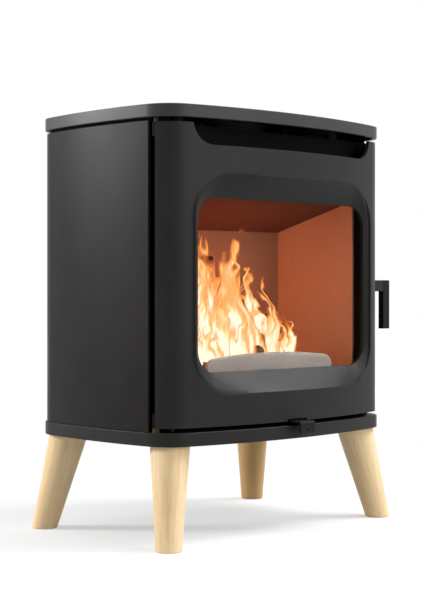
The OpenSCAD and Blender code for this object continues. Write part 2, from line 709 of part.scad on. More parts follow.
module spindle_lug() {
  translate([lug_x, axis_y, handle_z]) rotate([0, 90, 0]) cylinder(h = lug_end - lug_x, r = lug_r);
  intersection() {
    plan_slab(skin_inset + 2, handle_z - lug_r, handle_z + lug_r);
    block([lug_x, far], [axis_y - 38, axis_y], [handle_z - lug_r, handle_z + lug_r]);
    block([lug_x, lug_end], [-far, far], [handle_z - lug_r, handle_z + lug_r]);
  }
}
module door_casting() color(iron) difference() {
  union() {
    difference() {
      plan_slab(skin_inset, door_lo, door_hi);
      plan_slab(door_inset, door_lo - 1, door_hi + 1);
      block([-far, far], [door_y, far], [0, far]);
    }
    intersection() {
      plan_slab(skin_inset + 1, door_lo, door_hi);
      funnel(door_t, open_y, flange_y);
    }
    intersection() {
      plan_slab(skin_inset + 1, door_lo, door_hi);
      standing(open_y, flange_y) rounded(rope_hw + channel_w + channel_t, rope_lo - channel_w - channel_t,
        rope_hi + channel_w + channel_t, rope_corner + channel_w + channel_t);
    }
    standing(flange_y - 1, channel_y) channel_ring(channel_w + channel_t, channel_w + channel_t);
    standing(flange_y - 1, rope_y + 1.5) channel_ring(channel_w + channel_t, -channel_w);
    standing(flange_y - 1, rope_y + 1.5) channel_ring(-channel_w, channel_w + channel_t);
    door_ribs();
    hinge_boss(door_lo);
    hinge_boss(door_hi - boss_h);
    spindle_lug();
  }
  funnel(0, open_y, flange_y + 1);
  standing(-far, door_y + 1) {
    translate([-cutout_hw, door_hi - cutout_h + cutout_r]) square([2 * cutout_hw, far]);
    translate([-cutout_hw + cutout_r, door_hi - cutout_h]) square([2 * (cutout_hw - cutout_r), far]);
    for (s = [-1, 1]) translate([s * (cutout_hw - cutout_r), door_hi - cutout_h + cutout_r]) circle(cutout_r);
  }
  block([-notch_w / 2, notch_w / 2], [-far, flange_y + 30], [door_lo - 1, door_lo + notch_h]);
  translate([hinge_c.x, hinge_c.y, door_lo - 1]) cylinder(h = pin_in + 2, r = pin_r + fit);
  translate([hinge_c.x, hinge_c.y, door_hi - pin_in - 1]) cylinder(h = pin_in + 2, r = pin_r + fit);
  on_axis(lug_x - 1) cylinder(h = lug_end - lug_x + 2, r = spindle_r + fit);
  at_clips() standing(flange_y - 4, far) circle(clip_r + fit);
}

// Glazing: gasket, ceramic glass and the clips that hold it
glass_lo = open_lo - glass_lap;
glass_hi = open_hi + glass_lap;
glass_r = opening_r + 3;
clip_t = 2.5;
clip_x = [-0.6, 0, 0.6] * glass_hw;
clip_w = 22;
clip_r = 2;
module at_clips() for (x = clip_x, z = [glass_lo - 7, glass_hi + 7]) translate([x, 0, z]) children();
module window_gasket() color("#d8d4c8") standing(flange_y, glass_y) difference() {
  rounded(glass_hw, glass_lo, glass_hi, glass_r);
  rounded(open_hw + 1, open_lo - 1, open_hi + 1, opening_r);
}
module window_glass() color("#33353755") standing(glass_y, glass_y + glass_t)
  rounded(glass_hw, glass_lo, glass_hi, glass_r);
module glass_clips() color(zinc) for (x = clip_x, s = [-1, 1]) {
  edge = s < 0 ? glass_lo : glass_hi;
  translate([x, 0, edge]) scale([1, 1, s]) difference() {
    union() {
      block([-clip_w / 2, clip_w / 2], [flange_y, glass_y + glass_t + clip_t], [0.5, 13]);
      block([-clip_w / 2, clip_w / 2], [glass_y + glass_t, glass_y + glass_t + clip_t], [-8, 1]);
    }
    translate([0, 0, 7]) standing(flange_y - 1, far) circle(clip_r + fit);
  }
}
module clip_screws() color(zinc) at_clips() {
  standing(flange_y - 4, glass_y + glass_t + clip_t + 1) circle(clip_r);
  standing(glass_y + glass_t + clip_t, glass_y + glass_t + clip_t + 2) circle(2 * clip_r);
}

// Rope seal: a round rope laid in the channel round the whole opening
module door_seal() color("#8d8b86") translate([0, rope_y, 0]) {
  span = rope_hi - rope_lo - 2 * rope_corner;
  for (s = [-1, 1]) translate([s * rope_hw, 0, rope_lo + rope_corner]) cylinder(h = span, r = rope_r);
  for (z = [rope_lo, rope_hi]) translate([rope_corner - rope_hw, 0, z]) rotate([0, 90, 0])
    cylinder(h = 2 * (rope_hw - rope_corner), r = rope_r);
  for (i = [0 : 3])
    let (sx = i == 0 || i == 3 ? 1 : -1, z = i < 2 ? rope_hi - rope_corner : rope_lo + rope_corner)
    translate([sx * (rope_hw - rope_corner), 0, z]) rotate([90, 0, 0]) rotate(i * 90)
      rotate_extrude(angle = 90) translate([rope_corner, 0]) circle(rope_r);
}

// Handle: spindle through the door's lug, hook inside, arm and grip outside
module on_axis(x) translate([x, axis_y, handle_z]) rotate([0, 90, 0]) children();
module handle_spindle() color(steel) on_axis(shell_hw + 2)
  cylinder(h = arm_x + spindle_in - shell_hw - 2, r = spindle_r);
module spindle_circlip() color(zinc) on_axis(lug_end + 0.1) difference() {
  cylinder(h = 1.2, r = axis_y - door_y - seat);
  translate([0, 0, -1]) cylinder(h = 4, r = spindle_r + fit);
}
module latch_hook() color(zinc) translate([hook_x, axis_y, handle_z]) rotate([90, 0, 90])
  linear_extrude(hook_t) difference() {
    union() {
      circle(10);
      translate([0, -hook_w]) square([nose_to, hook_w]);
      polygon([[nose_from, -hook_w], [nose_to, -hook_w], [nose_to, nose_h - 3], [nose_to - 3, nose_h],
               [nose_from, nose_h]]);
    }
    circle(spindle_r + fit);
  }
module handle_arm() color(dark_iron) difference() {
  block([arm_x, grip_x], [axis_y - grip_d / 2, axis_y + grip_d / 2],
        [handle_z - arm_h / 2, handle_z + arm_h / 2]);
  on_axis(arm_x - 1) cylinder(h = spindle_in + 1 + fit, r = spindle_r + fit);
  on_axis(grip_x - 9) cylinder(h = 10, r = grip_screw_r + fit);
}
module handle_grip() color(dark_iron) difference() {
  block([grip_x, grip_x + grip_w], [axis_y - grip_d / 2, axis_y + grip_d / 2],
        [handle_z + arm_h / 2 - grip_l, handle_z + arm_h / 2]);
  on_axis(grip_x - 1) cylinder(h = far, r = grip_screw_r + fit);
  on_axis(grip_x + grip_w - 3) cylinder(h = far, r = grip_head_r + fit);
}
module grip_screw() color(zinc) {
  on_axis(grip_x - 8) cylinder(h = grip_w + 5, r = grip_screw_r);
  on_axis(grip_x + grip_w - 3) cylinder(h = 2.5, r = grip_head_r);
}

// Air control: one bent sheet, with the valve plate behind and the tab in front
bend_r = 4;
module air_slide() color(dark_iron) {
  front = front_y - tab_out;
  difference() {
    union() {
      block([-tab_w / 2, tab_w / 2], [front + bend_r, valve_y - valve_d / 2 + 1],
            [slide_z, slide_z + slide_t]);
      block([-valve_w / 2, valve_w / 2], [valve_y - valve_d / 2, valve_y + valve_d / 2 - 10],
            [slide_z, slide_z + slide_t]);
      block([-tab_w / 2, tab_w / 2], [front, front + slide_t],
            [slide_z + slide_t - tab_h, slide_z + slide_t - bend_r]);
      translate([-tab_w / 2, front + bend_r, slide_z + slide_t - bend_r]) rotate([0, 90, 0]) intersection() {
        difference() {
          cylinder(h = tab_w, r = bend_r);
          translate([0, 0, -1]) cylinder(h = tab_w + 2, r = bend_r - slide_t);
        }
        block([-far, 0], [-far, 0], [-1, tab_w + 1]);
      }
    }
    ports(slide_z - 1, slide_z + slide_t + 1);
    translate([0, 0, slide_z + slide_t - tab_h + 5]) standing(front - 1, front + slide_t + 1)
      circle(tab_hole_r);
  }
}

base_plate();
front_left_leg();
front_right_leg();
rear_left_leg();
rear_right_leg();
leg_studs();
leg_nuts();
air_inlet_collar();
air_valve_seat();
air_slide_guides();
air_box_walls();
shell_floor();
shell_left_side();
shell_right_side();
shell_back();
shell_front();
shell_top();
ash_pan();
hearth_brick();
grate();
left_lining();
right_lining();
back_lining();
baffle_board();
smoke_shelf();
air_wash_angle();
log_guard();
firewood();
flue_collar();
top_plate();
top_screws();
left_side_panel();
right_side_panel();
rear_panel();
rear_outlet_cover();
rear_screws();
lower_hinge_pin();
upper_hinge_pin();
hinge_washer();
latch_keeper();
door_casting();
window_gasket();
window_glass();
glass_clips();
clip_screws();
door_seal();
handle_spindle();
spindle_circlip();
latch_hook();
handle_arm();
handle_grip();
grip_screw();
air_slide();
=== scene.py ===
"""A cast iron wood stove with a bowed door, a fire behind glass and four beech legs. All in metres."""

import bmesh
import bpy
import numpy as np
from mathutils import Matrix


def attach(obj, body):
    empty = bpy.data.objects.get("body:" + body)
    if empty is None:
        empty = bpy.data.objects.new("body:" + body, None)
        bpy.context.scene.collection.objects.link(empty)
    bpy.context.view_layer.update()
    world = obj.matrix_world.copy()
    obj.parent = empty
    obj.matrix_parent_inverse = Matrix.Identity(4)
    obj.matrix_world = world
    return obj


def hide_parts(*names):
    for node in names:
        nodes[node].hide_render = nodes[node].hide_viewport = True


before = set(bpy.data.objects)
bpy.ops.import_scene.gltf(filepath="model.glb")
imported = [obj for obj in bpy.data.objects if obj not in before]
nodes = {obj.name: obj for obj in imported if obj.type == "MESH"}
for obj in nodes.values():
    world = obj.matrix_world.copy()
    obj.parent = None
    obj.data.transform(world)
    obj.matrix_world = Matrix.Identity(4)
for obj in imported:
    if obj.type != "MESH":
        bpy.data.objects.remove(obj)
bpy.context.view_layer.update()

# Base plate
# A grey iron casting, open underneath behind an 8 mm rim, with a thick pad over each leg and a
# round hole for the outside-air collar. Its front and sides are bowed; it is painted matt anthracite.

PLATE_WIDTH = 0.560
PLATE_DEPTH = 0.384
BOW_RADIUS = 0.950
CORNER_RADIUS = 0.060
BASE_LOW = 0.164
BASE_TOP = 0.186
RIM = 0.008
WEB = 0.007
front_centre = np.array([0.0, BOW_RADIUS - PLATE_DEPTH / 2])
side_centre = np.array([PLATE_WIDTH / 2 - BOW_RADIUS, 0.0])
between = front_centre - side_centre
span = np.hypot(*between)
across = np.array([between[1], -between[0]]) / span
front_corner = (front_centre + side_centre) / 2 + across * np.sqrt(
    (BOW_RADIUS - CORNER_RADIUS) ** 2 - (span / 2) ** 2)
rear_corner_y = PLATE_DEPTH / 2 - CORNER_RADIUS
rear_corner = np.array([
    side_centre[0] + np.sqrt((BOW_RADIUS - CORNER_RADIUS) ** 2 - rear_corner_y ** 2), rear_corner_y])


def bearing(towards, origin):
    """The angle of the line from origin to towards, from the X axis."""
    return np.arctan2(towards[1] - origin[1], towards[0] - origin[0])


turn_1 = bearing(front_corner, front_centre)
turn_2 = bearing(front_corner, side_centre)
turn_3 = bearing(rear_corner, side_centre)
plan_arcs = (
    (front_centre, BOW_RADIUS, -np.pi / 2, turn_1),
    (front_corner, CORNER_RADIUS, turn_1, turn_2),
    (side_centre, BOW_RADIUS, turn_2, turn_3),
    (rear_corner, CORNER_RADIUS, turn_3, np.pi / 2),
)
plan_ends = np.cumsum([radius * (stop - start) for _, radius, start, stop in plan_arcs])
plan_half = plan_ends[-1] + rear_corner[0]


def plan_point(u, inset):
    """The point u metres along the plates' outline from the middle of the front, right where u is
    positive: centre plus (radius - inset) times the arc's normal, then the straight rear edge."""
    along = np.abs(np.asarray(u, float))
    x = rear_corner[0] - (along - plan_ends[-1])
    y = np.full_like(x, PLATE_DEPTH / 2 - inset)
    starts = np.concatenate([[0.0], plan_ends[:-1]])
    for (centre, radius, start, _), begin, end in reversed(list(zip(plan_arcs, starts, plan_ends))):
        angle = start + (along - begin) / radius
        here = along <= end
        x = np.where(here, centre[0] + (radius - inset) * np.cos(angle), x)
        y = np.where(here, centre[1] + (radius - inset) * np.sin(angle), y)
    return np.sign(np.asarray(u, float)) * x, y


def plan_steps(front, corner, side, rear):
    """Places along the whole outline, the right half from the front to the rear and back by the left."""
    marks = np.concatenate([[0.0], plan_ends, [plan_half]])
    counts = (front, corner, side, corner, rear)
    right = np.concatenate([np.linspace(a, b, n, endpoint=False)
                            for a, b, n in zip(marks[:-1], marks[1:], counts)])
    return np.concatenate([right, -np.append(right[1:], plan_half)[::-1]])


def level(x, y, z):
    """A ring of points from arrays of x and y and a height, or a height for each point."""
    return np.stack([x, y, np.broadcast_to(z, np.shape(x))], axis=-1)


def ring_round(centre, radius, others):
    """A circle's points, each on the line from its centre towards the point of another ring."""
    away = others[:, :2] - np.asarray(centre)
    away = away / np.linalg.norm(away, axis=1, keepdims=True)
    return np.asarray(centre) + radius * away


def skin(rings, wrap=False):
    """Quads from point i to i + 1 of ring k and of ring k + 1, each ring closed on itself. With wrap
    the last ring joins the first, and otherwise a face closes each end."""
    rings = np.asarray(rings, float)
    count, size = rings.shape[:2]
    at = np.arange(count * size).reshape(count, size)
    rows = np.vstack([at, at[:1]]) if wrap else at
    right = np.roll(rows, -1, axis=1)
    quads = np.stack([rows[:-1], right[:-1], right[1:], rows[1:]], axis=-1).reshape(-1, 4).tolist()
    caps = [] if wrap else [at[0][::-1].tolist(), at[-1].tolist()]
    return rings.reshape(-1, 3), quads + caps


def prism(x, y, low, high):
    """A closed outline in plan, carried straight up from low to high."""
    x, y = np.asarray(x, float), np.asarray(y, float)
    return skin([level(x, y, low), level(x, y, high)])


def block(x, y, z):
    """A straight-sided bar between two values of each of x, y and z."""
    return prism([x[0], x[1], x[1], x[0]], [y[0], y[0], y[1], y[1]], *z)


POST_SIDES = 48


def post(centre, radius, low, high, bore=0.0):
    """An upright round bar, or a tube where a bore is given."""
    turn = np.linspace(0, 2 * np.pi, POST_SIDES, endpoint=False)
    outer = centre[0] + radius * np.cos(turn), centre[1] + radius * np.sin(turn)
    if not bore:
        return skin([level(*outer, low), level(*outer, high)])
    inner = centre[0] + bore * np.cos(turn), centre[1] + bore * np.sin(turn)
    return skin([
        level(*outer, low), level(*outer, high), level(*inner, high), level(*inner, low)], wrap=True)


def piece(name, parts, material, body, cad):
    """One object from several closed surfaces, in their places, with its faces turned outwards. It
    rides on a body, hides the CAD node that it stands for and takes the material it is given."""
    sizes = np.cumsum([0] + [len(points) for points, _ in parts])
    points = np.concatenate([points for points, _ in parts])
    faces = [[corner + int(start) for corner in face]
             for start, (_, part_faces) in zip(sizes, parts) for face in part_faces]
    mesh = bpy.data.meshes.new(name)
    mesh.from_pydata(points.tolist(), [], faces)
    shell = bmesh.new()
    shell.from_mesh(mesh)
    bmesh.ops.recalc_face_normals(shell, faces=shell.faces)
    shell.to_mesh(mesh)
    shell.free()
    mesh.polygons.foreach_set("use_smooth", np.ones(len(mesh.polygons), bool))
    mesh.materials.append(material)
    thing = bpy.data.objects.new(name, mesh)
    bpy.context.scene.collection.objects.link(thing)
    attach(thing, body)
    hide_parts(cad)
    return thing


def soften(thing, width, turn=32, segments=3):
    """Rounds the edges that turn more than so many degrees, then evens the shading of the flats."""
    edge = thing.modifiers.new("round_edges", "BEVEL")
    edge.width = width
    edge.segments = segments
    edge.limit_method = "ANGLE"
    edge.angle_limit = np.radians(turn)
    thing.modifiers.new("even_flats", "WEIGHTED_NORMAL").keep_sharp = False


def put(tree, kind, inputs=None, **settings):
    """Adds a shader node; each input is given a value, or the socket of another node to join."""
    node = tree.nodes.new("ShaderNode" + kind)
    for name, value in settings.items():
        setattr(node, name, value)
    for name, value in (inputs or {}).items():
        if isinstance(value, bpy.types.NodeSocket):
            tree.links.new(value, node.inputs[name])
        else:
            node.inputs[name].default_value = value
    return node


def reckon(tree, kind, first, second=0.0, third=0.0, clamped=False):
    """One step of arithmetic on values, held between 0 and 1 where clamped."""
    return put(tree, "Math", {0: first, 1: second, 2: third}, operation=kind, use_clamp=clamped).outputs[0]


def carried(tree, value, start, end, at_start=0.0, at_end=1.0, curve="LINEAR"):
    """A value turned into at_start where it is start or less and at_end where it is end or more, with
    a straight or a smooth change between."""
    return put(tree, "MapRange", {
        "Value": value, "From Min": start, "From Max": end, "To Min": at_start, "To Max": at_end},
        interpolation_type=curve).outputs[0]


def between_colours(tree, part, first, second):
    """The first colour where part is 0, the second where it is 1, and a blend between."""
    return put(tree, "Mix", {"Factor": part, "A": first, "B": second}, data_type="RGBA").outputs[2]


def noise(tree, place, scale, detail, rough=0.5):
    """Soft noise from 0 to 1 with so many lumps to the metre: a value, Fac, and three values, Color."""
    return put(tree, "TexNoise", {
        "Vector": place, "Scale": scale, "Detail": detail, "Roughness": rough}).outputs


def own_place(tree):
    """The piece's own coordinates, in metres."""
    return put(tree, "TexCoord").outputs["Object"]


def colour(red, green, blue):
    """A colour for a socket, from its three linear parts."""
    return red, green, blue, 1.0


def finish(name, sockets):
    """A material with one Principled surface; sockets gives plain values, by name."""
    material = bpy.data.materials.new(name)
    material.use_nodes = True
    tree = material.node_tree
    tree.nodes.clear()
    surface = put(tree, "BsdfPrincipled", sockets)
    output = put(tree, "OutputMaterial")
    tree.links.new(surface.outputs[0], output.inputs["Surface"])
    return material, tree, surface


def cover(tree, surface, base, height, strength, depth):
    """Gives a surface its colour, and a bump from a height with that strength and depth in metres."""
    relief = put(tree, "Bump", {"Strength": strength, "Distance": depth, "Height": height})
    tree.links.new(base, surface.inputs["Base Color"])
    tree.links.new(relief.outputs[0], surface.inputs["Normal"])


def group_of(name, inputs, outputs):
    """An empty node group with named inputs and outputs, each a kind of socket and a first value."""
    tree = bpy.data.node_groups.new(name, "ShaderNodeTree")
    for socket, (kind, value) in inputs.items():
        made = tree.interface.new_socket(socket, in_out="INPUT", socket_type="NodeSocket" + kind)
        if value is not None:
            made.default_value = value
    for socket, kind in outputs.items():
        tree.interface.new_socket(socket, in_out="OUTPUT", socket_type="NodeSocket" + kind)
    entry = tree.nodes.new("NodeGroupInput")
    leave = tree.nodes.new("NodeGroupOutput")
    return tree, entry.outputs, leave.inputs


def use(tree, shared, inputs):
    """Places a shared node group in a material with that material's own values."""
    return put(tree, "Group", inputs, node_tree=shared).outputs


# Clouds of tone with fine grain over them: two noises, one some centimetres wide and one about a
# millimetre, blended between a dark and a light colour. The grain also gives a height.
mottle, given, result = group_of("clouded_grain", {
    "Vector": ("Vector", None), "Dark": ("Color", colour(0, 0, 0)), "Light": ("Color", colour(1, 1, 1)),
    "Cloud scale": ("Float", 9.0), "Grain scale": ("Float", 900.0), "Grain": ("Float", 0.35),
    "Rough": ("Float", 0.5), "Rough change": ("Float", 0.1),
}, {"Color": "Color", "Rough": "Float", "Height": "Float"})
cloud = noise(mottle, given["Vector"], given["Cloud scale"], detail=5.0, rough=0.6)["Fac"]
grain = noise(mottle, given["Vector"], given["Grain scale"], detail=2.0, rough=0.6)["Fac"]
both = put(mottle, "Mix", {"Factor": given["Grain"], "A": cloud, "B": grain}).outputs[0]
lightness = carried(mottle, both, start=0.30, end=0.70)
tone = between_colours(mottle, lightness, given["Dark"], given["Light"])
change = carried(mottle, cloud, start=0.3, end=0.7, at_start=-0.5, at_end=0.5)
roughness = reckon(mottle, "MULTIPLY_ADD", change, given["Rough change"], given["Rough"])
mottle.links.new(tone, result["Color"])
mottle.links.new(roughness, result["Rough"])
mottle.links.new(grain, result["Height"])


def clouded(name, dark, light, specular=0.5, metal=0.0, clouds=7.0, grains=1100.0, grain=0.35,
            rough=0.40, change=0.10, bump=0.25, depth=0.0003):
    """A material in clouded grain from dark to light. clouds and grains say how many lie in a metre,
    grain the share of the fine ones, change how far the roughness varies, and bump and depth the
    strength and the height in metres of the relief."""
    material, tree, surface = finish(name, {"Specular IOR Level": specular, "Metallic": metal})
    out = use(tree, mottle, {
        "Vector": own_place(tree), "Dark": dark, "Light": light, "Cloud scale": clouds,
        "Grain scale": grains, "Grain": grain, "Rough": rough, "Rough change": change})
    cover(tree, surface, out["Color"], out["Height"], bump, depth)
    tree.links.new(out["Rough"], surface.inputs["Roughness"])
    return material


iron_paint = clouded("iron_paint", colour(0.0110, 0.0104, 0.0100), colour(0.0185, 0.0175, 0.0168),
                     specular=0.14)

outline_u = plan_steps(front=30, corner=20, side=18, rear=26)
outer_x, outer_y = plan_point(outline_u, 0.0)
rim_x, rim_y = plan_point(outline_u, RIM)
outer_line = np.stack([outer_x, outer_y], axis=1)
FACE_PARTS = (0.33, 0.66, 0.93)


def plate(hole, hole_radius, low, high):
    """A plate as one closed surface: from the hole's upper edge over the top, down the outer edge, in
    under the rim, up its inner side and along the underside of the web back to the hole."""
    circle = ring_round(hole, hole_radius, outer_line)
    face = [circle + (outer_line - circle) * part for part in FACE_PARTS]
    over = [level(*ring.T, high) for ring in [circle, *face]]
    edge = [level(outer_x, outer_y, high), level(outer_x, outer_y, low), level(rim_x, rim_y, low)]
    under = [level(rim_x, rim_y, high - WEB), level(*circle.T, high - WEB)]
    return skin(over + edge + under, wrap=True)


RIB_X = 0.130
RIB_HALF = 0.003
RIB_Y = (-0.176, 0.183)
CROSS_RIB_END = 0.262
CROSS_RIB_Y = (-0.063, -0.057)


def ribs(low, high, gap):
    """Two ribs from front to rear and one across, broken by a gap at the middle."""
    lengthwise = [block((side * RIB_X - RIB_HALF, side * RIB_X + RIB_HALF), RIB_Y, (low, high))
                  for side in (-1, 1)]
    crosswise = [block(sorted((side * gap, side * CROSS_RIB_END)), CROSS_RIB_Y, (low, high))
                 for side in (-1, 1)]
    return lengthwise + crosswise


# The pads and bosses run this far into the web, and start a hair above the rim's lower edge.
EMBED = 0.001
HAIR = 0.0002
INLET = (0.0, 0.052)
INLET_RADIUS = 0.04925
INLET_GAP = 0.052
BASE_RIB_RISE = 0.006
HINGE = (-0.26069, -0.124)
HINGE_BOSS = 0.0075
PAD_RADIUS = 0.0356
STUD_HOLE = 0.00405
LEG_X = 0.2273
LEG_FRONT_Y = -0.1198
LEG_REAR_Y = 0.1418
LEG_TOPS = {
    "front_left": (-LEG_X, LEG_FRONT_Y, -1, -1), "front_right": (LEG_X, LEG_FRONT_Y, 1, -1),
    "rear_left": (-LEG_X, LEG_REAR_Y, -1, 1), "rear_right": (LEG_X, LEG_REAR_Y, 1, 1),
}
base = piece("base_plate_casting", [
    plate(INLET, INLET_RADIUS, BASE_LOW, BASE_TOP),
    *ribs(BASE_LOW + BASE_RIB_RISE, BASE_TOP - EMBED, INLET_GAP),
    *[post((x, y), PAD_RADIUS, BASE_LOW + HAIR, BASE_TOP - EMBED, STUD_HOLE)
      for x, y, _, _ in LEG_TOPS.values()],
    post(HINGE, HINGE_BOSS, BASE_LOW + HAIR, BASE_TOP - EMBED),
], iron_paint, "stove", "base_plate")
soften(base, width=0.0012)

# Legs
# Four turned beech legs, 65 mm across where they meet the base and 42 mm at the floor, splayed out
# to both sides and cut level at each end. The grain runs straight down each leg under a clear oil.

LEG_RADIUS = 0.0326
FOOT_RADIUS = 0.021
SPLAY = 0.030
STUD_DEPTH = 0.050
LEG_SIDES = 72
LEG_RINGS = 22


def leg_surface(x, y, side, back):
    """A leaning cone between two level cuts: each point is the axis plus the radius there times its
    direction round the axis, moved along its own line to the height wanted; then the stud's bore."""
    top = np.array([x, y, BASE_LOW])
    axis = np.array([side * SPLAY, back * SPLAY, -BASE_LOW])
    length = np.linalg.norm(axis)
    axis = axis / length
    level_across = np.cross(axis, [0, 0, 1])
    level_across /= np.linalg.norm(level_across)
    up_across = np.cross(axis, level_across)
    taper = (LEG_RADIUS - FOOT_RADIUS) / length
    turn = np.linspace(0, 2 * np.pi, LEG_SIDES, endpoint=False)
    heights = np.linspace(0.0, BASE_LOW, LEG_RINGS)[:, None]
    lift = np.sin(turn) * up_across[2]
    run = (heights - top[2] - LEG_RADIUS * lift) / (axis[2] - taper * lift)
    radius = LEG_RADIUS - taper * run
    around = np.cos(turn)[:, None] * level_across + np.sin(turn)[:, None] * up_across
    rings = top + run[..., None] * axis + radius[..., None] * around
    bore = ring_round((x, y), STUD_HOLE, rings[-1])
    return skin(list(rings) + [level(*bore.T, BASE_LOW), level(*bore.T, BASE_LOW - STUD_DEPTH)])


# Straight wood grain: the object's coordinates are first slid against the lean of the leg, so that
# the leg's axis stands upright, and then three noises are stretched along it: bands, lines and pores.
wood, given, result = group_of("straight_grain", {
    "Vector": ("Vector", None), "Lean": ("Vector", (0.0, 0.0, 0.0)), "Seed": ("Vector", (0.0, 0.0, 0.0)),
    "Light": ("Color", colour(1, 1, 1)), "Dark": ("Color", colour(0, 0, 0)),
}, {"Color": "Color", "Rough": "Float", "Height": "Float"})
height = put(wood, "SeparateXYZ", {"Vector": given["Vector"]}).outputs["Z"]
shift = put(wood, "VectorMath", {0: given["Lean"], "Scale": height}, operation="SCALE")
upright = put(wood, "VectorMath", {0: given["Vector"], 1: shift.outputs[0]}, operation="ADD")
placed = put(wood, "VectorMath", {0: upright.outputs[0], 1: given["Seed"]}, operation="ADD")


def streaks(narrow, stretch, detail):
    """Noise pulled out along the leg, so many to the metre across the grain and along it."""
    pulled = put(wood, "VectorMath", {0: placed.outputs[0], 1: (narrow, narrow, stretch)},
                 operation="MULTIPLY")
    return noise(wood, pulled.outputs[0], scale=1.0, detail=detail, rough=0.55)["Fac"]


bands = streaks(narrow=34.0, stretch=1.2, detail=2.0)
lines = streaks(narrow=230.0, stretch=3.5, detail=2.0)
pores = streaks(narrow=900.0, stretch=26.0, detail=1.0)
LINE_SHARE = 0.45
PORE_SHARE = 0.30
PORE_COLOUR = colour(0.24, 0.13, 0.06)
grained = put(wood, "Mix", {
    "Factor": LINE_SHARE, "A": carried(wood, bands, start=0.36, end=0.66),
    "B": carried(wood, lines, start=0.40, end=0.62)})
plain = between_colours(wood, grained.outputs[0], given["Dark"], given["Light"])
pore_part = reckon(wood, "MULTIPLY", carried(wood, pores, start=0.66, end=0.74), PORE_SHARE)
wood.links.new(between_colours(wood, pore_part, plain, PORE_COLOUR), result["Color"])
wood.links.new(carried(wood, lines, start=0.0, end=1.0, at_start=0.52, at_end=0.40), result["Rough"])
wood.links.new(lines, result["Height"])

# The rear right leg is given darker colours than the other three, as painted shade: it stands in the shade
# under the base.
BEECH_LIGHT = np.array([0.90, 0.70, 0.435])
BEECH_DARK = np.array([0.77, 0.54, 0.28])
SHADED_LEG_TONES = {"rear_right": np.array([0.64, 0.53, 0.38])}
SEED_STEP = np.array([0.37, 0.21, 0.5])
for number, (where, (x, y, side, back)) in enumerate(LEG_TOPS.items()):
    shade = SHADED_LEG_TONES.get(where, 1.0)
    beech, tree, surface = finish("beech_" + where, {"Specular IOR Level": 0.3})
    out = use(tree, wood, {
        "Vector": own_place(tree), "Lean": (side * SPLAY / BASE_LOW, back * SPLAY / BASE_LOW, 0.0),
        "Seed": tuple(SEED_STEP * number),
        "Light": colour(*(BEECH_LIGHT * shade)), "Dark": colour(*(BEECH_DARK * shade))})
    cover(tree, surface, out["Color"], out["Height"], strength=0.25, depth=0.0003)
    tree.links.new(out["Rough"], surface.inputs["Roughness"])
    leg = piece(where + "_turned_leg", [leg_surface(x, y, side, back)], beech, "stove",
                where + "_leg")
    soften(leg, width=0.0016, turn=50)

# Studs, nuts and other small fasteners
# Zinc-plated or blacked steel: a stud and nut hold each leg to the base, and screws hold the
# top plate, the rear panel, the window clips and the latch keeper. The CAD's own shapes are kept. The leg
# studs, the nuts and the hinge pins are blacked as painted shade, in the dark gaps where they show.

zinc = clouded(
    "zinc", colour(0.40, 0.40, 0.385), colour(0.66, 0.655, 0.63), metal=1.0,
    clouds=60.0, grains=1500.0, grain=0.4, rough=0.34, change=0.16, bump=0.2, depth=0.0002)
black_oxide_and_shade = clouded(
    "black_oxide_and_shade", colour(0.012, 0.011, 0.010), colour(0.026, 0.024, 0.022), specular=0.3, metal=0.3,
    clouds=60.0, grains=1500.0, grain=0.4, rough=0.48, change=0.14, bump=0.2, depth=0.0002)


def dress(names, material):
    """Gives CAD nodes that keep their shape one of this object's finishes."""
    for name in names:
        nodes[name].data.materials[0] = material


dress(["rear_screws", "latch_keeper", "clip_screws", "glass_clips", "spindle_circlip", "grip_screw"], zinc)
# Blacked as painted shade: the leg studs, the nuts and the hinge pins, which show in dark gaps.
dress(["leg_studs", "leg_nuts", "top_screws", "lower_hinge_pin", "upper_hinge_pin"], black_oxide_and_shade)

# Air supply
# A round sheet steel collar takes outside air through the base. Over it lie a seat with four slots,
# the guides of the sliding valve, and four walls that make a box under the firebox floor.

sheet_steel = clouded(
    "sheet_steel", colour(0.20, 0.198, 0.19), colour(0.34, 0.335, 0.32), metal=0.85,
    clouds=40.0, grains=1300.0, grain=0.3, rough=0.42, change=0.14, bump=0.2, depth=0.0002)
dress(["air_inlet_collar", "air_valve_seat", "air_slide_guides", "air_box_walls", "ash_pan"], sheet_steel)

# Firebox shell
# Six welded steel plates, painted matt black and given a black far darker than paint, as painted shade
# where they show through the door's cut-out.
# The smoke shelf, the air-wash angle above the glass and the grate are in heat-resistant paint, faded by
# the fire in clouds of brown, and kept near black as painted shade inside the firebox.

firebox_steel = clouded(
    "firebox_steel", colour(0.0060, 0.0050, 0.0045), colour(0.018, 0.0135, 0.0110), specular=0.30,
    clouds=14.0, grains=800.0, grain=0.25, rough=0.50, change=0.14, bump=0.3, depth=0.0004)
black_paint_and_shade = clouded(
    "black_paint_and_shade", colour(0.0014, 0.0012, 0.0011), colour(0.0040, 0.0034, 0.0030), specular=0.05,
    clouds=14.0, grains=800.0, grain=0.25, rough=0.60, bump=0.2)
dress(["smoke_shelf", "air_wash_angle", "grate"], firebox_steel)
dress(["shell_floor", "shell_left_side", "shell_right_side", "shell_back", "shell_front", "shell_top"],
      black_paint_and_shade)

# Lining boards
# Pressed vermiculite boards line the back, both sides, the hearth and the sloping baffle above the
# fire. They are tan, tinted orange as painted firelight, and flecked like coarse cork; the back board is a
# darker copy as painted shade, and the baffle is darker where smoke has passed over it.

FLAKES = 420.0
BOARD_EDGE = 0.0012
WELD_WITHIN = 0.00002


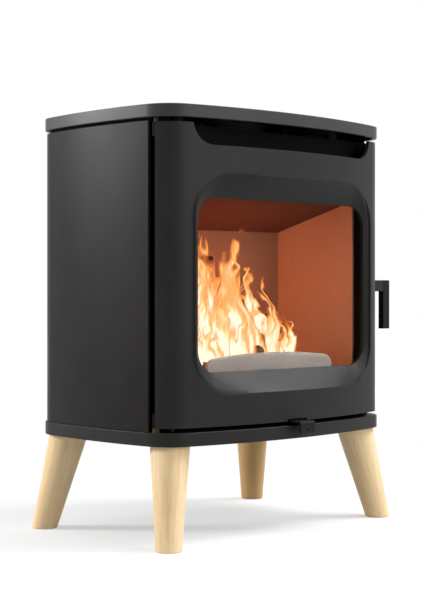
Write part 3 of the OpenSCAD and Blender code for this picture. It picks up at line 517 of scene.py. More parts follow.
def board(name, dark, light):
    """Pressed flakes: clouded grain, darkened towards the middle of each cell of a fine cell pattern."""
    material, tree, surface = finish(name, {"Specular IOR Level": 0.08})
    place = own_place(tree)
    out = use(tree, mottle, {
        "Vector": place, "Dark": dark, "Light": light, "Cloud scale": 5.0,
        "Grain scale": FLAKES, "Grain": 0.22, "Rough": 0.85, "Rough change": 0.1})
    flakes = put(tree, "TexVoronoi", {"Vector": place, "Scale": FLAKES}).outputs["Distance"]
    fleck = carried(tree, flakes, start=0.1, end=0.6, at_start=0.90, at_end=1.04)
    flecked = put(tree, "VectorMath", {0: out["Color"], "Scale": fleck}, operation="SCALE")
    cover(tree, surface, flecked.outputs[0], flakes, strength=0.35, depth=0.0008)
    tree.links.new(out["Rough"], surface.inputs["Roughness"])
    return material


# The tan is tinted orange as painted firelight, and the back board is a darker copy of it as painted shade.
firelit_tan_board = board("vermiculite", colour(0.50, 0.285, 0.185), colour(0.64, 0.375, 0.250))
shaded_back_board = board("vermiculite_back_shaded", colour(0.24, 0.135, 0.088), colour(0.33, 0.190, 0.128))
smoked_board = board("vermiculite_smoked", colour(0.062, 0.024, 0.013), colour(0.110, 0.044, 0.024))
BOARDS = {
    "hearth_brick": firelit_tan_board, "left_lining": firelit_tan_board, "right_lining": firelit_tan_board,
    "back_lining": shaded_back_board, "baffle_board": smoked_board,
}
# Modifiers weld the loose triangles and ease the edges, which darkens the joints between the boards.
for name, material in BOARDS.items():
    dress([name], material)
    nodes[name].modifiers.new("weld", "WELD").merge_threshold = WELD_WITHIN
    soften(nodes[name], BOARD_EDGE, segments=2)

# Log guard
# A cast bar that stands across the front of the hearth and keeps logs off the glass. Its upper edge
# is a low crown with a thick rounded lip, and both ends are rounded off. Bare grey iron, pale with ash, and
# made paler still as painted light on its face.

GUARD_HALF = 0.1535
GUARD_LOW = 0.262
GUARD_TOP = 0.3065
GUARD_FRONT = -0.128
GUARD_BACK = -0.122
CROWN_RADIUS = 1.35
END_RADIUS = 0.016
END_DROP = 0.9
END_STOP = 0.995
END_STEPS = 12
STRAIGHT_STEPS = 41
LIP_STEPS = 13
LIP_SWELL = 1.45
NECK_RISE = (0.0, 0.25, 0.6, 0.82, 0.93)
NECK_SWELL = (1.0, 1.0, 1.03, 1.18, LIP_SWELL)


def guard_surface():
    """A profile carried from end to end: at each x a closed loop of front and back face, whose top is
    a half round. The top follows a circle of 1.35 m and drops on a quarter round at each end."""
    quarter = END_RADIUS * (1 - np.cos(np.linspace(0, np.pi / 2, END_STEPS)))
    straight = np.linspace(-GUARD_HALF + END_RADIUS, GUARD_HALF - END_RADIUS, STRAIGHT_STEPS)[1:-1]
    x = np.concatenate([-GUARD_HALF + quarter, straight, GUARD_HALF - quarter[::-1]])
    crown = GUARD_TOP - CROWN_RADIUS + np.sqrt(CROWN_RADIUS ** 2 - x ** 2)
    past = np.clip(np.abs(x) - (GUARD_HALF - END_RADIUS), 0, END_RADIUS * END_STOP)
    top = crown - (END_RADIUS - np.sqrt(END_RADIUS ** 2 - past ** 2)) * END_DROP
    middle = (GUARD_FRONT + GUARD_BACK) / 2
    half = (GUARD_BACK - GUARD_FRONT) / 2
    lip = half * LIP_SWELL
    turn = np.linspace(0, np.pi, LIP_STEPS)[1:-1]
    swell = half * np.array(NECK_SWELL)
    loop_y = np.concatenate([middle - swell, middle - lip * np.cos(turn), (middle + swell)[::-1]])
    neck = GUARD_LOW + (top - lip - GUARD_LOW)[:, None] * np.array(NECK_RISE)
    loop_z = np.concatenate([neck, (top - lip)[:, None] + lip * np.sin(turn), neck[:, ::-1]], axis=1)
    return skin(np.stack(np.broadcast_arrays(x[:, None], loop_y, loop_z), axis=-1))


# The grey is made pale, partly for ash and partly as painted light from the front.
bare_iron = clouded(
    "bare_iron", colour(0.43, 0.395, 0.39), colour(0.58, 0.54, 0.535), specular=0.1,
    clouds=20.0, grains=700.0, rough=0.7, change=0.12, bump=0.4, depth=0.0005)
guard = piece("log_guard_bar", [guard_surface()], bare_iron, "stove", "log_guard")
soften(guard, width=0.0008, turn=50)

# Firewood
# Two split logs lie on the hearth with two small charred pieces over them. Bark is on the round side;
# the faces are charred black where they burn, cracked into small squares, and glow in the cracks.

HEARTH_TOP = 0.262
LOG_PROFILE = np.array([
    [-1.0, 0.0], [-0.5, 0.0], [0.0, 0.0], [0.5, 0.0], [0.92, 0.0], [1.0, 0.3], [0.85, 0.7],
    [0.55, 1.02], [0.25, 1.17], [-0.1, 1.27], [-0.45, 1.13], [-0.8, 0.88], [-1.0, 0.6], [-1.06, 0.3]])
LOG_SIDES = 56
LOG_RINGS = 46
END_SKEW = 0.006
END_FROM = 0.49
BARK_DEPTH = 0.012
BARK_RISE = 3
# A wave of the bark: strength, times round the log, radians per metre along it, and times the seed.
BARK_WAVES = ((1.0, 3, 41, 1), (1.0, 7, -63, 2), (0.7, 13, 110, 3))


def log_surface(centre, length, radius, turn, tilt, seed):
    """A profile of a split log, two flat faces and a round back, carried along its axis. Its radius
    changes by a sum of sines of the angle and the distance, and both ends are cut a little askew."""
    corners = len(LOG_PROFILE)
    closed = np.vstack([LOG_PROFILE, LOG_PROFILE[:1]])
    fine = np.linspace(0, corners, LOG_SIDES, endpoint=False)
    across_y = np.interp(fine, np.arange(corners + 1), closed[:, 0]) * radius
    across_z = np.interp(fine, np.arange(corners + 1), closed[:, 1]) * radius
    along = np.linspace(-0.5, 0.5, LOG_RINGS)[:, None] * length
    phase = fine / corners * 2 * np.pi
    rough = BARK_DEPTH * sum(strength * np.sin(times * phase + per_metre * along + share * seed)
                             for strength, times, per_metre, share in BARK_WAVES)
    rough = rough * np.clip(across_z / radius * BARK_RISE, 0, 1)
    points_y = across_y * (1 + rough)
    points_z = across_z * (1 + rough)
    at_end = np.abs(along) > END_FROM * length
    points_x = along + END_SKEW * np.sin(phase + seed) * np.sign(along) * at_end
    points = np.stack(np.broadcast_arrays(points_x, points_y, points_z), axis=-1)
    cos_turn, sin_turn = np.cos(turn), np.sin(turn)
    cos_tilt, sin_tilt = np.cos(tilt), np.sin(tilt)
    leaning = points @ np.array([[cos_tilt, 0, sin_tilt], [0, 1, 0], [-sin_tilt, 0, cos_tilt]])
    turned = leaning @ np.array([[cos_turn, sin_turn, 0], [-sin_turn, cos_turn, 0], [0, 0, 1]])
    return skin(turned + np.asarray(centre))


EMBER_TOP = 0.312
EMBER_COLOUR = (1.0, 0.20, 0.03)
charred, tree, surface = finish("charred_wood", {
    "Roughness": 0.9, "Specular IOR Level": 0.2, "Emission Strength": 1.0})
place = own_place(tree)
cracks = put(tree, "TexVoronoi", {"Vector": place, "Scale": 130.0}, feature="DISTANCE_TO_EDGE")
crack_distance = cracks.outputs["Distance"]
burnt = carried(tree, noise(tree, place, scale=26.0, detail=3.0)["Fac"], start=0.44, end=0.60)
bark = between_colours(tree, burnt, colour(0.028, 0.020, 0.016), colour(0.17, 0.095, 0.05))
crack = carried(tree, crack_distance, start=0.0, end=0.09, at_start=1.0, at_end=0.0)
log_height = put(tree, "SeparateXYZ", {"Vector": place}).outputs["Z"]
ember = carried(tree, log_height, HEARTH_TOP, EMBER_TOP, at_start=1.0, at_end=0.12)
glow = reckon(tree, "MULTIPLY", crack, ember)
glowing = put(tree, "VectorMath", {0: EMBER_COLOUR, "Scale": glow}, operation="SCALE")
tree.links.new(glowing.outputs[0], surface.inputs["Emission Color"])
cover(tree, surface, bark, crack_distance, strength=0.8, depth=0.002)

# Each log: its name, centre, length, radius, turn and tilt in radians, and seed.
LOGS = (
    ("split_log_front", (-0.008, -0.074, HEARTH_TOP), 0.250, 0.030, 0.035, 0.0, 1.0),
    ("split_log_rear", (0.014, 0.002, HEARTH_TOP), 0.262, 0.033, -0.035, 0.0, 2.3),
    ("split_log_upper", (-0.002, -0.082, 0.2990), 0.066, 0.0125, 0.30, 0.10, 4.1),
    ("split_log_stick", (0.036, -0.068, 0.3080), 0.062, 0.0085, 0.90, 0.75, 5.3),
)
for name, *shape in LOGS:
    piece(name, [log_surface(*shape)], charred, "stove", "firewood")

# Flue collar
# A short cast socket for a 150 mm flue pipe. It stands on the firebox and its rim shows above the
# top plate. It is in the same heat-resistant paint as the smoke shelf, dulled by heat, and darkened with it
# as painted shade.

dress(["flue_collar"], firebox_steel)

# Top plate
# A casting with the same bowed outline as the base and an 8 mm rim, screwed down from inside the
# firebox through four bosses. The flue collar comes up through its middle, and the casing's panels
# close round a rib that stands down from it.

TOP_LOW = 0.688
TOP_HIGH = 0.709
TOP_RIB_RISE = 0.002
TOP_RIB_GAP = 0.099
COLLAR_HOLE = 0.0825
BOSS_X = (-0.19, 0.19)
BOSS_Y = (-0.095, 0.085)
BOSS_RADIUS = 0.011
BOSS_LOW = 0.681
BOSS_BORE = 0.00305
HINGE_BORE = 0.00355
PIN_DEPTH = 0.006
LOCATOR_INSET = 0.0095
LOCATOR_THICK = 0.004
LOCATOR_LOW = 0.673
LOCATOR_FRONT_Y = -0.113


def corner_start(y, inset):
    """Where along the outline a line at that inset passes y, on its way round the front corner."""
    return plan_ends[0] + CORNER_RADIUS * (
        np.arcsin((y - front_corner[1]) / (CORNER_RADIUS - inset)) - turn_1)


def band(u, inset, thick):
    """A band in plan along the outline: out along its outer side and back along its inner side."""
    out_x, out_y = plan_point(u, inset)
    in_x, in_y = plan_point(u, inset + thick)
    return np.concatenate([out_x, in_x[::-1]]), np.concatenate([out_y, in_y[::-1]])


FRONT_STEPS = 4
REAR_STEPS = 6


def casing_line(front_y, inset, side, corner):
    """Places along the outline from a front edge round the front corner, along the side and round the
    rear corner, with so many points on the side and on the rear corner."""
    return np.concatenate([
        np.linspace(corner_start(front_y, inset), plan_ends[1], FRONT_STEPS, endpoint=False),
        np.linspace(plan_ends[1], plan_ends[2], side), np.linspace(plan_ends[2], plan_ends[3], corner)[1:]])


locator_half = np.concatenate([casing_line(LOCATOR_FRONT_Y, LOCATOR_INSET, side=24, corner=16),
                               np.linspace(plan_ends[3], plan_half, REAR_STEPS)[1:]])
locator_u = np.concatenate([locator_half, -locator_half[-2::-1]])
locator = prism(*band(locator_u, LOCATOR_INSET, LOCATOR_THICK), LOCATOR_LOW, TOP_HIGH - EMBED)
# The top plate takes a copy of the door's anthracite over twice as light, as painted light on its edges.
top_paint_lit = clouded("iron_paint_top_lit", colour(0.026, 0.0247, 0.0238), colour(0.046, 0.0438, 0.0425),
                    specular=0.20)
# The rib is in the near-black of the shell plates, as painted shade in the gap under the top plate's edge.
piece("panel_locator_rib", [locator], black_paint_and_shade, "stove", "top_plate")
top = piece("top_plate_casting", [
    plate((0.0, 0.0), COLLAR_HOLE, TOP_LOW, TOP_HIGH),
    *ribs(TOP_LOW + TOP_RIB_RISE, TOP_HIGH - EMBED, TOP_RIB_GAP),
    *[post((x, y), BOSS_RADIUS, BOSS_LOW, TOP_HIGH - EMBED, BOSS_BORE) for x in BOSS_X for y in BOSS_Y],
    post(HINGE, HINGE_BOSS, TOP_LOW + HAIR, TOP_HIGH - PIN_DEPTH, HINGE_BORE),
], top_paint_lit, "stove", "top_plate")
soften(top, width=0.0012)

# Side panels
# Two castings, 6 mm thick, that follow the bowed sides and wrap the rear corners. A thinner lap at
# the rear takes the screws of the rear panel, and four lugs inside rest against the firebox.

PANEL_INSET = 0.003
PANEL_THICK = 0.006
PANEL_LOW = 0.186
PANEL_HIGH = 0.683
PANEL_FRONT_Y = -0.115
PANEL_REAR_X = 0.195
LAP_X = (0.180, 0.204)
LAP_Y = (0.183, 0.186)
LUG_X = (0.241, 0.272)
LUG_FRONTS = (-0.070, 0.060)
LUG_LOWS = (0.230, 0.626)
LUG_THICK = 0.008
LUG_HEIGHT = 0.018
panel_u = np.append(casing_line(PANEL_FRONT_Y, PANEL_INSET, side=30, corner=22),
                    plan_ends[3] + rear_corner[0] - PANEL_REAR_X)


def on_side(side, x):
    """Two values of x taken to the right or left side, the lower one first."""
    return sorted((side * x[0], side * x[1]))


def panel_parts(side):
    """The panel's plan, out along the outer face and back along the inner one, carried up."""
    x, y = band(panel_u, PANEL_INSET, PANEL_THICK)
    panel = skin([level(side * x, y, z) for z in np.linspace(PANEL_LOW, PANEL_HIGH, 3)])
    lap = block(on_side(side, LAP_X), LAP_Y, (PANEL_LOW, PANEL_HIGH))
    lugs = [block(on_side(side, LUG_X), (front, front + LUG_THICK), (low, low + LUG_HEIGHT))
            for low in LUG_LOWS for front in LUG_FRONTS]
    return [panel, lap, *lugs]


side_paint = clouded("iron_paint_side", colour(0.0100, 0.0091, 0.0085), colour(0.0165, 0.0151, 0.0141),
                     specular=0.085, rough=0.37)
for side, where in ((-1, "left"), (1, "right")):
    panel = piece(where + "_side_casting", panel_parts(side), side_paint, "stove",
                  where + "_side_panel")
    soften(panel, width=0.0010)

# Rear panel and outlet cover
# A flat sheet with rows of air slots, and a round cover on the rear flue outlet. Sprayed with the
# same anthracite, smoother than on the castings.

sheet_paint = clouded(
    "sheet_paint", colour(0.0105, 0.0098, 0.0093), colour(0.0165, 0.0154, 0.0146), specular=0.12,
    grains=1600.0, grain=0.3, rough=0.48, change=0.08, bump=0.12, depth=0.0002)
dress(["rear_panel", "rear_outlet_cover"], sheet_paint)

# Hinge washer
# A brass thrust washer on the lower hinge pin, on which the door's weight turns, darkened nearly to black
# as painted shade in the hinge gap.

brass = clouded(
    "brass", colour(0.030, 0.020, 0.009), colour(0.070, 0.045, 0.018), metal=0.8,
    clouds=80.0, grains=1500.0, grain=0.4, rough=0.50, change=0.12, bump=0.15, depth=0.0002)
dress(["hinge_washer"], brass)

# Door
# One iron casting, bowed like the plates and wrapped round both front corners. A slanted recess
# frames the glass, a cut-out in the upper edge lets warm air out, and a rope channel is on the back.

DOOR_LOW = 0.193
DOOR_HIGH = 0.6805
DOOR_INSET = 0.003
DOOR_WALL = 0.006
DOOR_END = 0.2871
OPEN_Y = -0.160
FLANGE_Y = -0.154
# A window line: half its width, its lower and upper edge, and the radius of its corners.
RECESS = (0.2110, 0.2446, 0.6005, 0.070)
OPENING = (0.2035, 0.2792, 0.5623, 0.037)
CUT_HALF = 0.2165
CUT_LOW = 0.646
CUT_RADIUS = 0.038
NOTCH_HALF = 0.024
NOTCH_TOP = 0.1967


def window_line(size, place):
    """The right half of a rounded window from the middle of its lower side to that of its upper side.
    place runs from 0 to 5: lower side, corner, right side, corner, upper side, one unit each."""
    half, low, high, radius = size
    lower_turn = (place - 2) * np.pi / 2
    upper_turn = (place - 3) * np.pi / 2
    sections = [place < 1, place < 2, place < 3, place < 4]
    x = np.select(sections, [
        (half - radius) * place, half - radius + radius * np.cos(lower_turn), np.full_like(place, half),
        half - radius + radius * np.cos(upper_turn)], (half - radius) * (5 - place))
    z = np.select(sections, [
        np.full_like(place, low), low + radius + radius * np.sin(lower_turn),
        low + radius + (high - low - 2 * radius) * (place - 2),
        high - radius + radius * np.sin(upper_turn)], high)
    return x, z


def arc_length(x):
    """The distance along the plates' front from the middle to a point of the door's face at x."""
    return BOW_RADIUS * np.arcsin(x / (BOW_RADIUS - DOOR_INSET))


CUT_PLACE = 3.40
CUT_STEPS = 15
LEVEL_STEPS = 13
cut_side = CUT_HALF - CUT_RADIUS
cut_centre = CUT_LOW + CUT_RADIUS
cut_turn = np.linspace(np.arcsin((DOOR_HIGH - cut_centre) / CUT_RADIUS), -np.pi / 2, CUT_STEPS)
cut_u = arc_length(cut_side + CUT_RADIUS * np.cos(cut_turn))
cut_z = cut_centre + CUT_RADIUS * np.sin(cut_turn)
notch_u = arc_length(NOTCH_HALF)
LOW_EDGE_U = 0.195
END_LOW = 0.310
END_HIGH = 0.555

# The door's outer edge from the middle of its lower side up to the middle of its upper side, as runs
# of points: how many, from and to which place on the window, and from and to which place on the edge.
edge_runs = (
    (3, 0.00, 0.16, (0.0, NOTCH_TOP), (notch_u, NOTCH_TOP)),
    (1, 0.16, 0.18, (notch_u, NOTCH_TOP), (notch_u, DOOR_LOW)),
    (10, 0.18, 1.00, (notch_u, DOOR_LOW), (LOW_EDGE_U, DOOR_LOW)),
    (18, 1.00, 1.45, (LOW_EDGE_U, DOOR_LOW), (DOOR_END, DOOR_LOW)),
    (12, 1.45, 2.00, (DOOR_END, DOOR_LOW), (DOOR_END, END_LOW)),
    (14, 2.00, 3.00, (DOOR_END, END_LOW), (DOOR_END, END_HIGH)),
    (9, 3.00, 3.16, (DOOR_END, END_HIGH), (DOOR_END, DOOR_HIGH)),
    (14, 3.16, CUT_PLACE, (DOOR_END, DOOR_HIGH), (cut_u[0], DOOR_HIGH)),
)
run_place = [np.linspace(a, b, n, endpoint=False) for n, a, b, _, _ in edge_runs]
run_u = [np.linspace(p[0], q[0], n, endpoint=False) for n, _, _, p, q in edge_runs]
run_z = [np.linspace(p[1], q[1], n, endpoint=False) for n, _, _, p, q in edge_runs]
half_place = np.concatenate(
    run_place + [np.linspace(CUT_PLACE, 4.0, CUT_STEPS)[:-1], np.linspace(4.0, 5.0, LEVEL_STEPS)])
half_u = np.concatenate(run_u + [cut_u[:-1], np.linspace(cut_u[-1], 0.0, LEVEL_STEPS)])
half_z = np.concatenate(run_z + [cut_z[:-1], np.full(LEVEL_STEPS, CUT_LOW)])


def both_halves(x, z):
    """The whole ring from its right half: the left half is the mirror image, walked backwards."""
    return np.concatenate([x, -x[-2:0:-1]]), np.concatenate([z, z[-2:0:-1]])


def window_ring(size, y=None):
    """A whole window line, flat at y, or else on the door's bowed face."""
    x, z = both_halves(*window_line(size, half_place))
    if y is None:
        y = front_centre[1] - np.sqrt((BOW_RADIUS - DOOR_INSET) ** 2 - x ** 2)
    return np.stack([x, np.broadcast_to(y, x.shape), z], axis=1)


def grown(size, by):
    """The same window line, larger by so much all round."""
    return size[0] + by, size[1] - by, size[2] + by, size[3] + by


edge_u, edge_z = both_halves(half_u, half_z)


def face_rings(inset, parts):
    """Rings of the face between the recess line and the outer edge: straight blends of the two lines
    in distance along the face and height, which the bowed plan then carries."""
    x, z = both_halves(*window_line(RECESS, half_place))
    u = arc_length(x)
    part = np.asarray(parts)[:, None]
    return list(level(*plan_point(u + (edge_u - u) * part, inset), z + (edge_z - z) * part))


SLANT_STEPS = 7
OUTSIDE_PARTS = (0.06, 0.14, 0.23, 0.33, 0.43, 0.53, 0.63, 0.73, 0.82, 0.90, 0.96, 1.0)
INSIDE_PARTS = (1.0, 0.9, 0.75, 0.6, 0.45, 0.3, 0.15)
INNER_RECESS = grown(RECESS, 0.005)
INNER_RECESS_Y = -0.168
INNER_OPENING = grown(OPENING, 0.006)
recess_ring = window_ring(RECESS)
opening_ring = window_ring(OPENING, OPEN_Y)
slant = [opening_ring + (recess_ring - opening_ring) * part for part in np.linspace(0, 1, SLANT_STEPS)]
outside = face_rings(DOOR_INSET, OUTSIDE_PARTS)

# Along each upright side the crease of the recess is drawn to the middle between its neighbours, in
# full over the middle of the side and less towards the corners, so that the edge there is soft.
SIDE_MIDDLE = 2.5
SIDE_REACH = 0.9
SOFT_GAIN = 1.6
half_share = np.clip(SOFT_GAIN * (1 - np.abs(half_place - SIDE_MIDDLE) / SIDE_REACH), 0, 1)
side_share = np.concatenate([half_share, half_share[-2:0:-1]])[:, None]
slant[-1] = slant[-1] + side_share * ((slant[-2] + outside[0]) / 2 - slant[-1])
door_rings = [
    window_ring(OPENING, FLANGE_Y), *slant, *outside,
    *face_rings(DOOR_INSET + DOOR_WALL, INSIDE_PARTS),
    window_ring(INNER_RECESS, INNER_RECESS_Y), window_ring(INNER_OPENING, FLANGE_Y)]

ROPE = (0.226, 0.203, 0.628, 0.030)
ROPE_Y = -0.1403
CHANNEL_Y = -0.1455
CHANNEL_HALF = 0.0055
WALL_HALF = 0.0085
WALL_Y = ROPE_Y + 0.0015
FRAME_Y = OPEN_Y + 0.0005
FRAME_OPENING = grown(OPENING, 0.003)
FACE_CLEAR = 0.0015
FACE_SAMPLES = 200
# How many points an evenly divided window line has on each side and corner of its right half.
EVEN_STEPS = (14, 12, 20, 12, 14)
even_place = np.concatenate([
    np.linspace(start, start + 1, count, endpoint=False) for start, count in enumerate(EVEN_STEPS)
] + [[5.0]])
face_x, face_y = plan_point(np.linspace(0, DOOR_END, FACE_SAMPLES), DOOR_INSET)


def flat_ring(size, y):
    """A whole rounded window line in an upright plane, pushed back where the bowed face would cut it."""
    x, z = both_halves(*window_line(size, even_place))
    face = np.interp(np.abs(x), face_x, face_y) + FACE_CLEAR
    return np.stack([x, np.maximum(np.full_like(x, y), face), z], axis=1)


# The frame behind the opening and the channel's two walls, as the section is walked from the glass
# outwards and back: a window line and how far back it lies.
back_frame = skin([flat_ring(size, y) for size, y in (
    (FRAME_OPENING, FLANGE_Y), (FRAME_OPENING, FRAME_Y),
    (grown(ROPE, WALL_HALF), FRAME_Y), (grown(ROPE, WALL_HALF), WALL_Y),
    (grown(ROPE, CHANNEL_HALF), WALL_Y), (grown(ROPE, CHANNEL_HALF), CHANNEL_Y),
    (grown(ROPE, -CHANNEL_HALF), CHANNEL_Y), (grown(ROPE, -CHANNEL_HALF), WALL_Y),
    (grown(ROPE, -WALL_HALF), WALL_Y), (grown(ROPE, -WALL_HALF), FLANGE_Y),
)], wrap=True)

WEB_CORNER_RADIUS = 0.055
WEB_STEPS = 12
LEAST_REACH = 0.0005


def behind_face(side, x, y, z):
    """A web from the inner x out to the inside of the door's corner, or to the outer x at most,
    between two values of y and carried up between two of z."""
    line = np.linspace(*y, WEB_STEPS)
    corner_x = np.sqrt(np.maximum(WEB_CORNER_RADIUS ** 2 - (line - front_corner[1]) ** 2, 0))
    outer = np.clip(front_corner[0] + corner_x, x[0] + LEAST_REACH, x[1])
    return prism(side * np.concatenate([outer, np.full_like(line, x[0])]),
                 np.concatenate([line, line[::-1]]), *z)


def lying(part):
    """The same shape with its upright axis laid along X: z becomes x, x becomes y, and y becomes z."""
    points, faces = part
    return points[:, [2, 0, 1]], faces


SPINDLE_Y = -0.1212
SPINDLE_Z = 0.4207
SPINDLE_HOLE = 0.00505
SPINDLE_LUG_RADIUS = 0.011
SPINDLE_LUG_X = (0.250, 0.2602)
SPINDLE_LUG_Y = (-0.1470, -0.1315)
SPINDLE_LUG_Z = (SPINDLE_Z - SPINDLE_LUG_RADIUS, SPINDLE_Z + SPINDLE_LUG_RADIUS)
EYE_RADIUS = 0.0065
EYE_X = (0.2542, 0.2605)
EYE_Y = (-0.1428, -0.1285)
EYE_HEIGHT = 0.023
EYE_LEVELS = ((DOOR_LOW, DOOR_LOW + EYE_HEIGHT), (DOOR_HIGH - EYE_HEIGHT, DOOR_HIGH))
WEB_X = (0.226, 0.250)
WEB_Y = (-0.1572, -0.1500)
WEB_THICK = 0.005
WEB_LOWS = tuple(DOOR_LOW + rise for rise in (0.050, 0.130, 0.330, 0.415))
# The hinge eyes and their webs are in the near-black of the shell plates, as painted shade in the gap
# beside the door.
bosses = piece("door_hinge_bosses", [
    *[post(HINGE, EYE_RADIUS, low, high, HINGE_BORE) for low, high in EYE_LEVELS],
    *[behind_face(-1, EYE_X, EYE_Y, levels) for levels in EYE_LEVELS],
], black_paint_and_shade, "door", "door_casting")
soften(bosses, width=0.0006)
door = piece("bowed_door_casting", [
    skin(door_rings, wrap=True), back_frame,
    lying(post((SPINDLE_Y, SPINDLE_Z), SPINDLE_LUG_RADIUS, *SPINDLE_LUG_X, SPINDLE_HOLE)),
    behind_face(1, SPINDLE_LUG_X, SPINDLE_LUG_Y, SPINDLE_LUG_Z),
    *[behind_face(side, WEB_X, WEB_Y, (low, low + WEB_THICK)) for side in (-1, 1) for low in WEB_LOWS],
], iron_paint, "door", "door_casting")
soften(door, width=0.0009)

# Rope seal and window gasket
# A braided glass-fibre rope, 10 mm thick, is glued into the channel round the door's back, and a
# flat tape of black yarn lies between the casting and the glass.

ROPE_RADIUS = 0.005
ROPE_RINGS = 640
ROPE_SIDES = 16
STRAND_PITCH = 0.0075
STRANDS_ROUND = 3


def rope_surface():
    """A round section carried along the rounded window line: each point is the line's, plus the radius
    times the cosine of the turn outwards and the sine backwards. Also gives the distance to each ring."""
    x, z = both_halves(*window_line(ROPE, even_place))
    fine = np.linspace(0, len(x), ROPE_RINGS, endpoint=False)
    x = np.interp(fine, np.arange(len(x) + 1), np.append(x, x[0]))
    z = np.interp(fine, np.arange(len(z) + 1), np.append(z, z[0]))
    along_x = np.roll(x, -1) - np.roll(x, 1)
    along_z = np.roll(z, -1) - np.roll(z, 1)
    size = np.hypot(along_x, along_z)
    turn = np.linspace(0, 2 * np.pi, ROPE_SIDES, endpoint=False)
    ring_x = x[:, None] + ROPE_RADIUS * np.cos(turn) * (along_z / size)[:, None]
    ring_z = z[:, None] + ROPE_RADIUS * np.cos(turn) * (-along_x / size)[:, None]
    ring_y = np.broadcast_to(ROPE_Y + ROPE_RADIUS * np.sin(turn), ring_x.shape)
    travelled = np.concatenate([[0.0], np.cumsum(np.hypot(np.diff(x), np.diff(z)))])
    return skin(np.stack([ring_x, ring_y, ring_z], axis=-1), wrap=True), travelled


rope_yarn, tree, surface = finish("glass_fibre_rope", {
    "Roughness": 0.9, "Sheen Weight": 0.2, "Specular IOR Level": 0.2})
strand_map = put(tree, "UVMap", uv_map="braid").outputs[0]
strand = put(tree, "SeparateXYZ", {"Vector": strand_map}).outputs


def ridge(kind):
    """A rounded strand for each whole turn of the sum or the difference of the map's two values."""
    slanted = reckon(tree, kind, strand["X"], strand["Y"])
    return reckon(tree, "SINE", reckon(tree, "MULTIPLY", slanted, 2 * np.pi))


braid = reckon(tree, "MAXIMUM", ridge("ADD"), ridge("SUBTRACT"))
yarn = between_colours(
    tree, carried(tree, braid, start=-0.4, end=1.0), colour(0.16, 0.155, 0.15), colour(0.42, 0.41, 0.39))
cover(tree, surface, yarn, braid, strength=0.8, depth=0.0012)
rope_part, travelled = rope_surface()
rope = piece("braided_rope_seal", [rope_part], rope_yarn, "door", "door_seal")

# The map gives each corner its strands round the section in v and its pitches along the rope in u.
# Where a face closes the ring or the section, its corners at 0 are given a whole turn instead.
braid_map = rope.data.uv_layers.new(name="braid")
corner_at = np.empty(len(rope.data.loops), int)
rope.data.loops.foreach_get("vertex_index", corner_at)
section_at = (corner_at % ROPE_SIDES).reshape(-1, 4)
ring_at = (corner_at // ROPE_SIDES).reshape(-1, 4)
closes_section = np.ptp(section_at, axis=1, keepdims=True) > 1
closes_ring = np.ptp(ring_at, axis=1, keepdims=True) > 1
loop_length = travelled[-1] + travelled[1]
v_turns = np.where(closes_section & (section_at == 0), ROPE_SIDES, section_at) / ROPE_SIDES * STRANDS_ROUND
u_turns = np.where(closes_ring & (ring_at == 0), loop_length, travelled[ring_at])
u_turns = u_turns / loop_length * round(loop_length / STRAND_PITCH)
braid_map.data.foreach_set("uv", np.stack([u_turns, v_turns], axis=-1).ravel())

gasket_yarn = clouded(
    "glass_fibre_tape", colour(0.006, 0.0055, 0.005), colour(0.014, 0.013, 0.012), specular=0.1,
    clouds=300.0, grains=1800.0, grain=0.5, rough=0.9, change=0.05, bump=0.6, depth=0.0004)
dress(["window_gasket"], gasket_yarn)

# Window glass
# A flat sheet of clear ceramic glass, 4 mm thick, held against the tape by six clips. It has a
# trace of brown and the faintest haze.

glass, tree, surface = finish("ceramic_glass", {
    "Transmission Weight": 1.0, "IOR": 1.06, "Specular IOR Level": 0.2})
haze = noise(tree, own_place(tree), scale=6.0, detail=3.0)["Fac"]
haze_tone = between_colours(tree, haze, colour(0.93, 0.90, 0.86), colour(0.90, 0.86, 0.81))
tree.links.new(haze_tone, surface.inputs["Base Color"])
tree.links.new(carried(tree, haze, start=0.0, end=1.0, at_end=0.02), surface.inputs["Roughness"])
dress(["window_glass"], glass)

# Handle
# A spindle through the door carries a steel arm and an upright square grip, held by a screw from
# the side. Both are blasted steel in matt black; the hook that latches the door is plated.

handle_black = clouded(
    "handle_black", colour(0.010, 0.010, 0.010), colour(0.017, 0.017, 0.017), specular=0.06,
    clouds=20.0, grains=1800.0, grain=0.3, rough=0.46, bump=0.15, depth=0.0002)
arm_black = clouded(
    "arm_black", colour(0.022, 0.022, 0.022), colour(0.034, 0.034, 0.034), specular=0.05,
    clouds=20.0, grains=1800.0, grain=0.3, rough=0.42, bump=0.15, depth=0.0002)
ARM_X = (0.2727, 0.3012)
ARM_Z = (SPINDLE_Z - 0.01025, SPINDLE_Z + 0.01025)
GRIP_X = (0.3012, 0.3192)
GRIP_Z = (0.3410, 0.4310)
GRIP_Y = (SPINDLE_Y - 0.006, SPINDLE_Y + 0.006)
SIDE_STEPS = 10
SCREW_SEAT = 0.00455
SEAT_DEPTH = 0.003


def box_line(y, z):
    """A rectangle's outline in the upright plane across the handle, with its sides divided evenly."""
    place = np.linspace(0, 4, 4 * SIDE_STEPS, endpoint=False)
    corner_y = [y[0], y[1], y[1], y[0], y[0]]
    corner_z = [z[0], z[0], z[1], z[1], z[0]]
    return np.stack([np.interp(place, np.arange(5), corner_y),
                     np.interp(place, np.arange(5), corner_z)], axis=1)


def at_x(line, x):
    """A ring in the plane at x, from its y and z."""
    return np.stack([np.full(len(line), x), line[:, 0], line[:, 1]], axis=1)


